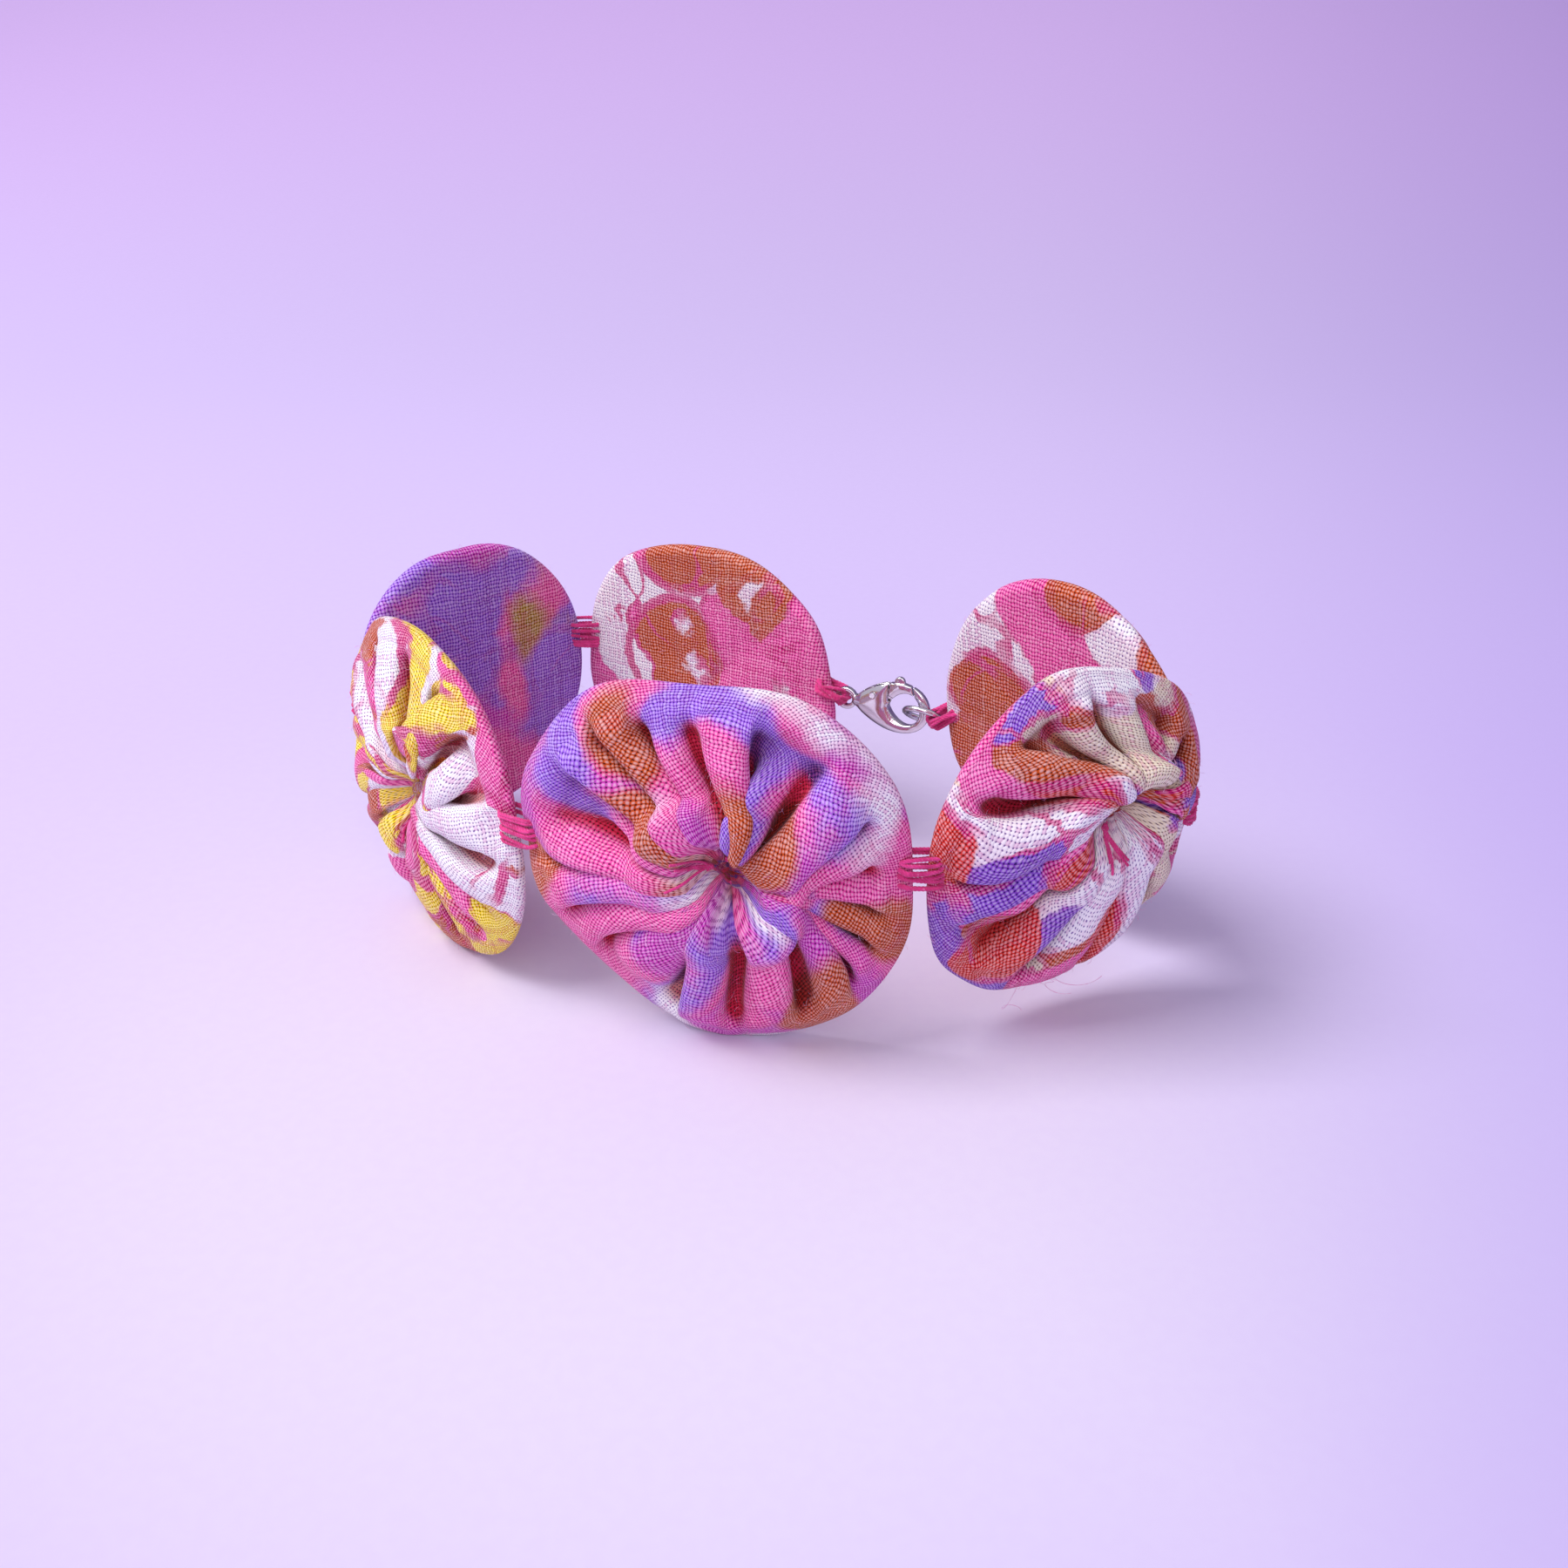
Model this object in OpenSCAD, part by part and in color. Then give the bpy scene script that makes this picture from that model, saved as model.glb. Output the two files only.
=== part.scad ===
// Wristlet of six gathered cloth puffs, whip-stitched rim to rim and closed by a
// lobster clasp on a jump ring. It stands on its edge with the clasp at the back.
// +Z is up, the front puff faces -Y, and the origin is the middle of the footprint.
//
// Every list of six runs in the order front, right, back right, back, back left, left.

/* [Puffs] */
// Width of each puff along the chain
puff_w = [30.8, 24.3, 25, 29, 24.8, 30.7]; // [16:0.1:40]
// Height of each puff
puff_h = [31.8, 30.4, 27.6, 29.6, 27, 29.6]; // [16:0.1:40]
// Height of each puff's lowest point above the table
puff_lift = [0, 2.8, 5.2, 0, 2, 0]; // [0:0.1:8]
// Lean of each puff's top towards the middle of the bracelet
puff_lean = [-4, -8, 5, 0, 0, 0]; // [-12:0.5:12]
// How far each gathered crown stands out from its rim
crown_h = [5.6, 5.6, 6, 6, 5.5, 4.1]; // [3:0.1:9]
// Place of each mouth along the chain, from the middle of its puff
mouth_along = [1.7, 2.2, -0.8, 1, -0.6, 1]; // [-3:0.1:3]
// Place of each mouth in height, from the middle of its puff
mouth_up = [1.9, 3.7, 0.8, -0.7, 1.2, 1.1]; // [-4:0.1:4]
// Radius of the folded rim
rim_r = 0.5; // [0.4:0.05:0.6]
// Radius of the mouth in the middle of the gathers
mouth_r = 1.6; // [1:0.1:2.2]
// Depth of that mouth
mouth_depth = 2.4; // [1:0.1:2.8]
// How much of a standing rim is pressed flat by the table
rest_flat = 0.3; // [0.1:0.05:0.4]

/* [Layout] */
// Way the front puff faces, as the turn of its chord from +X
front_az = -12.4; // [-30:0.1:10]
// Turn of the chain from the left puff to the front puff
left_turn = 41.1; // [25:0.1:60]
// Turn of the chain from the back left puff to the left puff
back_left_turn = 84.3; // [65:0.1:95]
// Turn of the chain from the back puff to the back left puff
back_turn = 73.9; // [60:0.1:90]
// Turn of the chain from the clasp to the back puff
clasp_turn = -5.9; // [-8:0.1:0]
// Rise of the joins and of the clasp above the middle of the front puff
join_rise = 2; // [0:0.1:3]
// Room between two rims at a join
join_gap = 1.2; // [1.1:0.05:1.6]

/* [Thread] */
// Diameter of the sewing thread
thread_d = 0.25; // [0.2:0.01:0.3]
// Loops of thread at each join between puffs
stitches = 4; // [2:1:5]
// Height from one loop to the next
stitch_pitch = 0.7; // [0.4:0.05:0.8]
// Width of the cloth that a loop holds between the rim and its slot
bead_w = 0.45; // [0.35:0.01:0.55]
// Room between the thread and the cloth that it holds
stitch_room = 0.32; // [0.2:0.01:0.35]

/* [Clasp] */
// Length of the clasp from the end of its eye to its nose
clasp_l = 9.5; // [9:0.1:12]
// Width of the clasp across its two arms
clasp_w = 5; // [4.6:0.1:6]
// Thickness of the clasp
clasp_t = 1.7; // [1.5:0.1:2]
// Thickness of the claw at its nose
nose_t = 1.1; // [0.9:0.05:1.3]
// Thickness of each cheek beside the lever's tail
cheek_t = 0.35; // [0.25:0.01:0.4]
// Radius of the hole in the eye
eye_r = 0.65; // [0.6:0.05:0.8]
// Width of the metal round that hole
eye_wall = 0.45; // [0.4:0.05:0.6]
// Width of the claw at its nose
nose_w = 0.95; // [0.8:0.05:1.2]
// Radius of the hinge pin
pin_r = 0.25; // [0.2:0.01:0.3]
// Room round the pin in the lever's hole
pin_room = 0.03; // [0.01:0.01:0.06]
// Room between the lever and the body
lever_room = 0.12; // [0.08:0.01:0.2]
// Outer diameter of the jump ring
ring_d = 3.9; // [3.7:0.05:5]
// Diameter of the jump ring's wire
ring_wire = 0.6; // [0.5:0.05:0.7]
// Lean of the jump ring from level
ring_lean = 40; // [35:1:50]
// How far the middle of the jump ring lies short of the claw's nose
ring_slack = 0.25; // [0:0.05:0.4]
// How far the jump ring hangs below the clasp's middle
ring_drop = 0.3; // [0.2:0.05:0.5]
// How far the clasp hangs below the joins
clasp_drop = 0.6; // [0:0.1:0.8]

/* [Hidden] */

FRONT = 0;
RIGHT = 1;
BACK_RIGHT = 2;
BACK = 3;
BACK_LEFT = 4;
LEFT = 5;

cloth = ["#d070c0", "#d98a4a", "#e7a7c0", "#d9a0b0", "#b060b8", "#e8d860"];
thread_colour = "#c2186b";
silver = "#d4d6da";

puff_sides = 48;
curve_steps = 9;
thread_r = thread_d / 2;
wire_r = ring_wire / 2;

// ---- the chain, seen from above ----

function along(az) = [cos(az), sin(az)];
function az_of(v) = atan2(v[1], v[0]);
// The corner of a triangle on the right-hand side of p to q, at a from p and b from q.
function third_corner(p, q, a, b) =
    let (d = norm(q - p), angle = acos((a * a + d * d - b * b) / (2 * a * d)))
    p + a * along(az_of(q - p) - angle);

eye_out = eye_r + eye_wall;
bar_gap = 0.4;                                  // from the back puff's rim to the clasp's eye
ring_r = ring_d / 2 - wire_r;                   // middle of the ring's wire
nose_s = bar_gap + clasp_l - nose_w / 2;        // middle of the claw's nose, from the back rim
ring_gap = 0.6;                                 // from the ring to the back right puff's rim
ring_s = nose_s - ring_slack;                   // middle of the ring
link_l = ring_s + ring_r + wire_r + ring_gap;

front_l = puff_w[FRONT] + join_gap;
az_front = front_az;
az_left = az_front - left_turn;
az_back_left = az_left - back_left_turn;
az_back = az_back_left - back_turn;
az_link = az_back - clasp_turn;

left_join = [-front_l / 2, 0];
right_join = left_join + front_l * along(az_front);
far_left_join = left_join - (puff_w[LEFT] + join_gap) * along(az_left);
back_left_join = far_left_join - (puff_w[BACK_LEFT] + join_gap) * along(az_back_left);
clasp_end = back_left_join - (puff_w[BACK] + join_gap / 2) * along(az_back);
ring_end = clasp_end - link_l * along(az_link);
far_right_join = third_corner(right_join, ring_end,
    puff_w[RIGHT] + join_gap, puff_w[BACK_RIGHT] + join_gap / 2);
az_right = az_of(far_right_join - right_join);
az_back_right = az_of(ring_end - far_right_join);

azimuth = [az_front, az_right, az_back_right, az_back, az_back_left, az_left];
// Where each puff's chord starts, half a gap or no gap before its rim.
chord_start = [left_join, right_join, far_right_join, clasp_end, back_left_join, far_left_join];
start_gap = [join_gap / 2, join_gap / 2, join_gap / 2, 0, join_gap / 2, join_gap / 2];
middle = [for (k = [0:5]) chord_start[k] + (start_gap[k] + puff_w[k] / 2) * along(azimuth[k])];
mid_z = [for (k = [0:5]) puff_lift[k] + puff_h[k] / 2 - rest_flat];
join_z = mid_z[FRONT] + join_rise;

// ---- the outline that a puff turns about its own axis ----

crown_share = 0.36;                             // radius of the crown's top, as a share of the puff's
function crown_r(k) = crown_share * puff_w[k] / 2;
function front_point(k, share) =
    let (from = puff_w[k] / 2 - rim_r)
    [from - share * (from - crown_r(k)), rim_r + (crown_h[k] - rim_r) * sin(90 * pow(share, 0.8))];
function profile(k) = concat(
    [[0, -rim_r]],
    [for (a = [-90:30:60]) [puff_w[k] / 2 - rim_r + rim_r * cos(a), rim_r * sin(a)]],
    [for (i = [0:curve_steps]) front_point(k, i / curve_steps)],
    [[0, crown_h[k]]]);

// How far puff k reaches in the level direction d.
function reach(k, d) = max([for (p = profile(k))
    middle[k] * d + p[0] * abs(along(azimuth[k]) * d) + p[1] * (along(azimuth[k] - 90) * d)]);
function furthest(d) = max([for (k = [0:5]) reach(k, d)]);
origin = [(furthest([1, 0]) - furthest([-1, 0])) / 2, (furthest([0, 1]) - furthest([0, -1])) / 2];

// How far in from its widest the rim of puff k is at the joins' height.
function rim_inset(k) =
    puff_w[k] / 2 * (1 - sqrt(1 - pow((join_z - mid_z[k]) / (puff_h[k] / 2), 2)));

module at_level(point, az, z) {
    translate([point[0] - origin[0], point[1] - origin[1], z]) rotate([0, 0, az]) children();
}

// ---- puffs ----

slot_spare_h = 0.6;                             // of a slot, past the stack of loops in it
slot_spare_w = 0.25;
slot_h = (stitches - 1) * stitch_pitch + thread_d + slot_spare_h;
slot_w = 2 * (stitch_room + thread_d) + slot_spare_w;
through = 20;                                   // longer than any cut that goes right through
table = 200;                                    // wider than the bracelet

// In the frame of puff k: x runs along the chain, the crown faces -y, and z is up its lean.
module on_puff(k) {
    at_level(middle[k], azimuth[k], join_z) rotate([-puff_lean[k], 0, 0])
        translate([0, 0, mid_z[k] - join_z]) children();
}

// The slot that the stitches pass through, near the rim on one side of the puff.
module stitch_slot(k, side) {
    near = puff_w[k] / 2 - rim_inset(k) - bead_w;
    translate([side * (near - slot_w / 2), 0, join_z - mid_z[k]])
        cube([slot_w, through, slot_h], center = true);
}

// In the frame of the mouth of puff k: z points out of the crown, from its top.
module on_mouth(k) {
    on_puff(k) translate([mouth_along[k], -crown_h[k], mouth_up[k]])
        rotate([90, 0, 0]) children();
}

module puff(k) {
    color(cloth[k]) difference() {
        on_puff(k) difference() {
            rotate([90, 0, 0]) scale([1, puff_h[k] / puff_w[k], 1])
                rotate_extrude($fn = puff_sides) polygon(profile(k));
            stitch_slot(k, -1);
            stitch_slot(k, 1);
        }
        on_mouth(k) translate([0, 0, -mouth_depth])
            cylinder(r = mouth_r, h = mouth_depth + 1, $fn = puff_sides);
        // the flat that the table presses into a standing rim
        translate([0, 0, -through / 2]) cube([table, table, through], center = true);
    }
}

// The running thread drawn tight round the mouth, with its knot.
module gathering_thread(k) {
    bite = 0.025;                               // of the thread into the mouth's wall
    knot_r = 0.4;
    knot_in = 0.15;                             // from the thread to the knot's middle
    knot_up = 0.1;
    knot_at = 40;
    level = 0.6;                                // down the mouth, as a share of its depth
    round_r = mouth_r - thread_r + bite;
    color(thread_colour) on_mouth(k) translate([0, 0, -mouth_depth * level]) union() {
        rotate_extrude($fn = puff_sides) translate([round_r, 0]) circle(r = thread_r, $fn = 16);
        rotate([0, 0, knot_at]) translate([round_r - knot_in, 0, knot_up])
            sphere(r = knot_r, $fn = 24);
    }
}

// ---- thread loops ----

// One closed loop of thread in a level plane, round two circles of radius r.
module thread_loop(a, b, r) {
    length = norm(b - a);
    translate([a[0], a[1], 0]) rotate([0, 0, az_of(b - a)]) union() {
        for (end = [0, 1]) translate([end * length, 0, 0]) rotate([0, 0, end == 1 ? -90 : 90])
            rotate_extrude(angle = 180, $fn = puff_sides)
                translate([r, 0]) circle(r = thread_r, $fn = 16);
        for (side = [-1, 1]) translate([0, side * r, 0]) rotate([0, 90, 0])
            cylinder(r = thread_r, h = length, $fn = 24);
    }
}

module loop_stack(a, b, r, count, pitch, z) {
    for (i = [0:count - 1])
        translate([0, 0, z + (i - (count - 1) / 2) * pitch]) thread_loop(a, b, r);
}

loop_r = sqrt(pow(bead_w / 2, 2) + pow(rim_r, 2)) + stitch_room + thread_r;

// Whip stitches that join the end of puff a to the start of puff b.
module stitches_between(a, b) {
    join = chord_start[b];
    hold_a = join - (join_gap / 2 + rim_inset(a) + bead_w / 2) * along(azimuth[a]);
    hold_b = join + (join_gap / 2 + rim_inset(b) + bead_w / 2) * along(azimuth[b]);
    color(thread_colour) translate([-origin[0], -origin[1], 0])
        loop_stack(hold_a, hold_b, loop_r, stitches, stitch_pitch, join_z);
}

end_room = 0.02;                                // between the loops at the clasp and at the ring
end_pitch = thread_d + end_room;
end_loops = 2;
end_held_r = 0.695;                             // of what such a loop holds
end_loop_r = end_held_r + thread_r;
clasp_thread_rise = 0.3;                        // of those loops at the eye, above its middle
ring_thread_twist = 70;                         // of the loops at a ring that lies level

// Along the link: x runs from the back puff's rim to the back right puff's rim.
module on_link() {
    at_level(clasp_end, az_link + 180, join_z) children();
}

// Loops that slope from a to b, both in the plane of x and z, and twist about that line.
module sloping_loops(a, b, twist) {
    translate([a[0], 0, a[1]]) rotate([0, -az_of(b - a), 0]) rotate([twist, 0, 0])
        loop_stack([0, 0], [norm(b - a), 0], end_loop_r, end_loops, end_pitch, 0);
}

module clasp_thread() {
    color(thread_colour) on_link() sloping_loops(
        [-rim_inset(BACK) - bead_w / 2, 0],
        [bar_gap + eye_wall / 2, clasp_thread_rise - clasp_drop], 0);
}

module ring_thread() {
    color(thread_colour) on_link() sloping_loops(
        [ring_s + ring_r, -clasp_drop - ring_drop],
        [link_l + rim_inset(BACK_RIGHT) + bead_w / 2, 0], ring_thread_twist - ring_lean);
}

// ---- lobster clasp, flat in the plane of x and z, with its eye at bar_gap ----

eye_s = bar_gap + eye_out;
tail_s = bar_gap + 2 * eye_out - eye_wall;      // where the claw leaves the eye
nose_end = bar_gap + clasp_l;
claw_mid = (tail_s + nose_end) / 2;
arm_w = 0.95;                                   // of the claw's two arms at their widest
mouth_back = 0.25;                              // from the claw's middle to the mouth's near end
mouth_from = claw_mid - mouth_back;             // the mouth's two ends
mouth_to = nose_end - nose_w;
mouth_half_h = clasp_w / 2 - arm_w;
lever_t = clasp_t - 2 * (cheek_t + lever_room);
gate_t = nose_t;
tail_r = 0.7;                                   // of the lever's round tail
tail_room = 0.2;                                // under that tail
pin_back = 1.6;                                 // from the claw's middle to the pin
pin_in = 0.5;                                   // from the arm's inner edge to the pin
gate_back = 1.5;                                // from the pin to the lever's share of the arm
gate_short = 1.6;                               // from there on to the nose
gate_low = 0.6;
pin_s = claw_mid - pin_back;
pin_z = clasp_w / 2 - arm_w - pin_in;
gate_from = pin_s + gate_back;                  // the lever's share of the upper arm
gate_to = nose_end - gate_short;
slot_floor = pin_z - tail_r - tail_room;        // of the slot that the lever's tail turns in
slot_l = 3.5;
tail_ahead = 0.5;                               // of that slot, ahead of the tail
cut_past = 1;                                   // of a bore's cutter, past both faces

// Point at the turn t on a drop from x0 to x1, which the power p draws out at x0.
drop_swell = 1.215;
claw_draw = 0.7;
mouth_draw = 0.5;
function drop_point(x0, x1, half_h, p, t) =
    [(x0 + x1) / 2 - (x1 - x0) / 2 * cos(t),
     half_h * sin(t) * pow(abs(sin(t / 2)), p) * drop_swell];
function drop(x0, x1, half_h, p) = [for (t = [0:7.5:352.5]) drop_point(x0, x1, half_h, p, t)];

module upright(t) {
    rotate([90, 0, 0]) linear_extrude(height = t, center = true) children();
}

module cross_bar(s, z, r, l) {
    translate([s, 0, z]) rotate([90, 0, 0]) cylinder(r = r, h = l, center = true, $fn = 48);
}

module claw_outline() {
    polygon(drop(tail_s, nose_end, clasp_w / 2, claw_draw));
}

module mouth_outline() {
    polygon(drop(mouth_from, mouth_to, mouth_half_h, mouth_draw));
}

// The stretch of the upper arm that the lever takes, from the housing to the nose.
// Its end is round about the pin, so that the lever clears the nose as it turns.
module gate_zone(room) {
    intersection() {
        translate([gate_from - room, gate_low - room])
            square([gate_to - gate_from + 2 * room, clasp_w]);
        translate([pin_s, pin_z]) circle(r = gate_to - pin_s + room, $fn = 96);
    }
}

// The clasp seen from above, full thickness at the housing and thinner at both ends.
module plan_outline() {
    from = tail_s - 0.1;
    house_from = pin_s - tail_r - 0.6;
    taper_l = 2;
    for (side = [0, 1]) mirror([0, side]) polygon([
        [from, 0], [from, nose_t / 2], [house_from, clasp_t / 2], [gate_from, clasp_t / 2],
        [gate_from + taper_l, nose_t / 2], [nose_end, nose_t / 2], [nose_end, 0]]);
}

module on_clasp() {
    on_link() translate([0, 0, -clasp_drop]) children();
}

module clasp_body() {
    color(silver) on_clasp() difference() {
        union() {
            intersection() {
                upright(clasp_t) difference() {
                    claw_outline();
                    mouth_outline();
                    gate_zone(lever_room);
                }
                linear_extrude(height = 2 * clasp_w, center = true) plan_outline();
            }
            cross_bar(eye_s, 0, eye_out, nose_t);
        }
        cross_bar(eye_s, 0, eye_r, clasp_t + cut_past);
        translate([pin_s - tail_r - tail_ahead, -lever_t / 2 - lever_room, slot_floor])
            cube([slot_l, lever_t + 2 * lever_room, clasp_w]);
        cross_bar(pin_s, pin_z, pin_r, clasp_t + cut_past);
    }
}

module clasp_lever() {
    knob_r = 0.5;
    knob_turn = 103;                            // round the claw's outline, to the thumb knob
    knob_out = 0.1;
    knob_thin = 0.3;                            // how much thinner it is than the lever's arm
    web_in = 0.3;                               // of the tail's web into that arm
    web_up = 0.2;
    corner_up = 0.1;
    corner_l = 1;
    knob = drop_point(tail_s, nose_end, clasp_w / 2, claw_draw, knob_turn);
    color(silver) on_clasp() difference() {
        union() {
            cross_bar(pin_s, pin_z, tail_r, lever_t);
            upright(lever_t) polygon([
                [pin_s, pin_z + tail_r],
                [pin_s, pin_z - tail_r],
                [gate_from + web_in, gate_low + web_up],
                [gate_from + web_in, pin_z + tail_r]]);
            upright(gate_t) difference() {
                intersection() {
                    claw_outline();
                    gate_zone(0);
                }
                mouth_outline();
                // the corner that would strike the housing as the lever turns
                polygon([[gate_from, 0], [gate_from, pin_z + corner_up],
                    [gate_from + corner_l, gate_low]]);
            }
            cross_bar(knob[0], knob[1] + knob_out, knob_r, gate_t - knob_thin);
        }
        cross_bar(pin_s, pin_z, pin_r + pin_room, clasp_t + cut_past);
    }
}

module clasp_pin() {
    sunk = 0.01;                                // of each end, below the cheek
    color(silver) on_clasp() cross_bar(pin_s, pin_z, pin_r, clasp_t - 2 * sunk);
}

// A bent leaf on the slot's floor, ahead of the lever's tail.
module clasp_spring() {
    leaf_t = 0.12;
    leaf_room = 0.05;                           // on each side
    leaf_w = lever_t - 2 * leaf_room;
    leaf_l = 0.6;
    leaf_rise = 22;
    under_tail = 0.3;
    color(silver) on_clasp() translate([pin_s + tail_r - under_tail, 0, slot_floor]) union() {
        translate([0, -leaf_w / 2, 0]) cube([leaf_l, leaf_w, leaf_t]);
        translate([0, -leaf_w / 2, leaf_t / 2]) rotate([0, -leaf_rise, 0])
            cube([leaf_l, leaf_w, leaf_t]);
    }
}

module jump_ring() {
    color(silver) on_clasp() translate([ring_s, 0, -ring_drop]) rotate([-ring_lean, 0, 0])
        rotate_extrude($fn = 64) translate([ring_r, 0]) circle(r = wire_r, $fn = 24);
}

puff(FRONT);  // front_puff
puff(RIGHT);  // right_puff
puff(BACK_RIGHT);  // back_right_puff
puff(BACK);  // back_puff
puff(BACK_LEFT);  // back_left_puff
puff(LEFT);  // left_puff
gathering_thread(FRONT);  // front_gathering_thread
gathering_thread(RIGHT);  // right_gathering_thread
gathering_thread(BACK_RIGHT);  // back_right_gathering_thread
gathering_thread(BACK);  // back_gathering_thread
gathering_thread(BACK_LEFT);  // back_left_gathering_thread
gathering_thread(LEFT);  // left_gathering_thread
stitches_between(LEFT, FRONT);  // front_left_stitches
stitches_between(FRONT, RIGHT);  // front_right_stitches
stitches_between(RIGHT, BACK_RIGHT);  // right_stitches
stitches_between(BACK_LEFT, LEFT);  // left_stitches
stitches_between(BACK, BACK_LEFT);  // back_left_stitches
clasp_thread();
ring_thread();
clasp_body();
clasp_lever();
clasp_pin();
clasp_spring();
jump_ring();
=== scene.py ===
# %% [markdown]
# # A bracelet of gathered fabric puffs
# Six Suffolk puffs are stitched rim to rim into a ring that closes with a lobster clasp and a jump ring.
# Each puff is one circle of printed cotton. Its edge is gathered on a thread and drawn tight, so the cloth
# makes a flat disc behind and a crown of pleats in front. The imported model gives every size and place, and
# this lesson gives each part the shape and the finish of the real thing.

# %% Load the frame
import bpy
import math
import numpy as np
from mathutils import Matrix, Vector, bvhtree, kdtree


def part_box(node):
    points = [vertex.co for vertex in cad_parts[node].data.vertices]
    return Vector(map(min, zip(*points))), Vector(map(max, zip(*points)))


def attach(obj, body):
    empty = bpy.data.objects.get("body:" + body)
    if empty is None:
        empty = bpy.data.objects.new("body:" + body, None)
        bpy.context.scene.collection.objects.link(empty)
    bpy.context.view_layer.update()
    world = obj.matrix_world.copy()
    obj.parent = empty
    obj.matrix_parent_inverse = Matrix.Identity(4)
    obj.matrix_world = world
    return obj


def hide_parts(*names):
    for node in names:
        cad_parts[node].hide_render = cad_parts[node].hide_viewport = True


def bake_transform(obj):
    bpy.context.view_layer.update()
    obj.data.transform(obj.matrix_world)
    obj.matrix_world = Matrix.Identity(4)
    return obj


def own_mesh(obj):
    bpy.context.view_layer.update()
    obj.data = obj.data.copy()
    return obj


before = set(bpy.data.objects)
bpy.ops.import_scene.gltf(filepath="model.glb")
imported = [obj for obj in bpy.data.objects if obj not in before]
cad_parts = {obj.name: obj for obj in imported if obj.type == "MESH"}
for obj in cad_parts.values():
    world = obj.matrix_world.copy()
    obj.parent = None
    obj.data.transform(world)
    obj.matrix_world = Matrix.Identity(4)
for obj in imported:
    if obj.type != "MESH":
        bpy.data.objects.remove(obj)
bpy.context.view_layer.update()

MM = 0.001
PUFFS = ("front", "right", "back_right", "back", "back_left", "left")
BACK = 0.5 * MM  # how far the flat back of a puff lies behind its origin

# %% [markdown]
# ## Camera
# The camera stands in front and looks down on a low object, close enough for some perspective. A lens as
# long as the sensor is wide gives a mild wide angle. The camera comes first, because every later choice of
# detail is judged through it.

# %% Camera
camera_data = bpy.data.cameras.new("camera")
camera_data.lens = 36
camera_data.sensor_width = 36
camera_data.clip_start = 0.005
camera_data.clip_end = 10
camera = bpy.data.objects.new("camera", camera_data)
camera.location = (0.00316, -0.12628, 0.07716)
camera.rotation_euler = (math.radians(63), 0, 0)
bpy.context.scene.collection.objects.link(camera)
bpy.context.scene.camera = camera

# %% [markdown]
# ## Small helpers for shader nodes
# Every finish below is a little network of nodes, and the helpers keep each network readable. A tree is
# either a material's own or a group's, and `Net` adds nodes to it and links them in one line.


# %% Shader helpers
class Net:
    """Adds and links the nodes of one shader tree."""

    def __init__(self, tree):
        self.tree = tree

    def plug(self, socket, value):
        """Links value to a socket if it is another socket, or else sets it there."""
        if isinstance(value, bpy.types.NodeSocket):
            self.tree.links.new(value, socket)
        elif value is not None:
            socket.default_value = value

    def fill(self, made, numbered=(), **named):
        """Plugs values into a node's sockets, by their numbers or by their names with _ for each space."""
        for number, value in dict(numbered).items():
            self.plug(made.inputs[number], value)
        for name, value in named.items():
            self.plug(made.inputs[name.replace("_", " ")], value)
        return made

    def node(self, kind, settings=(), numbered=(), **named):
        made = self.tree.nodes.new(kind)
        for name, value in dict(settings).items():
            setattr(made, name, value)
        return self.fill(made, numbered, **named)

    def math(self, operation, *values):
        return self.node("ShaderNodeMath", {"operation": operation}, enumerate(values)).outputs[0]

    def vector(self, operation, *values):
        made = self.node("ShaderNodeVectorMath", {"operation": operation}, enumerate(values))
        return made.outputs["Value" if operation == "LENGTH" else "Vector"]

    def scaled(self, vector, factor):
        return self.node("ShaderNodeVectorMath", {"operation": "SCALE"}, {0: vector}, Scale=factor).outputs[0]

    def mix(self, factor, a, b, kind="MIX"):
        settings = {"data_type": "RGBA", "blend_type": kind}
        return self.node("ShaderNodeMix", settings, {0: factor, 6: a, 7: b}).outputs[2]

    def blend(self, factor, a, b):
        return self.node("ShaderNodeMix", {}, {0: factor, 2: a, 3: b}).outputs[0]

    def ramp(self, value, low, high, out_low=0.0, out_high=1.0):
        """value runs smoothly from out_low to out_high as it goes from low to high."""
        made = self.node("ShaderNodeMapRange", {"interpolation_type": "SMOOTHSTEP"}, Value=value,
                         From_Min=low, From_Max=high, To_Min=out_low, To_Max=out_high)
        return made.outputs[0]

    def noise(self, vector, scale, detail=2.0, out="Fac"):
        made = self.node("ShaderNodeTexNoise", Vector=vector, Scale=scale, Detail=detail)
        return made.outputs[out]

    def group(self, tree, **inputs):
        return self.node("ShaderNodeGroup", {"node_tree": tree}, **inputs)


def new_group(name, inputs, outputs):
    """A node group with named sockets. Each entry is a name and a kind, and an input may add its value."""
    tree = bpy.data.node_groups.new(name, "ShaderNodeTree")
    kinds = {"value": "NodeSocketFloat", "colour": "NodeSocketColor", "vector": "NodeSocketVector"}
    for entry in inputs:
        socket = tree.interface.new_socket(entry[0], in_out="INPUT", socket_type=kinds[entry[1]])
        if len(entry) > 2:
            socket.default_value = entry[2]
    for entry in outputs:
        tree.interface.new_socket(entry[0], in_out="OUTPUT", socket_type=kinds[entry[1]])
    return Net(tree), tree.nodes.new("NodeGroupInput").outputs, tree.nodes.new("NodeGroupOutput")


def new_material(name):
    """A material and its net, its Principled shader, and no other node but the output."""
    material = bpy.data.materials.new(name)
    material.use_nodes = True
    net = Net(material.node_tree)
    return material, net, material.node_tree.nodes["Principled BSDF"]


def srgb(red, green, blue, alpha=1.0):
    """A colour written as it looks, each part from 0 to 255, in the linear numbers that shaders use."""
    parts = [c / 255 for c in (red, green, blue)]
    linear = [c / 12.92 if c <= 0.04045 else ((c + 0.055) / 1.055) ** 2.4 for c in parts]
    return (*linear, alpha)


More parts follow.
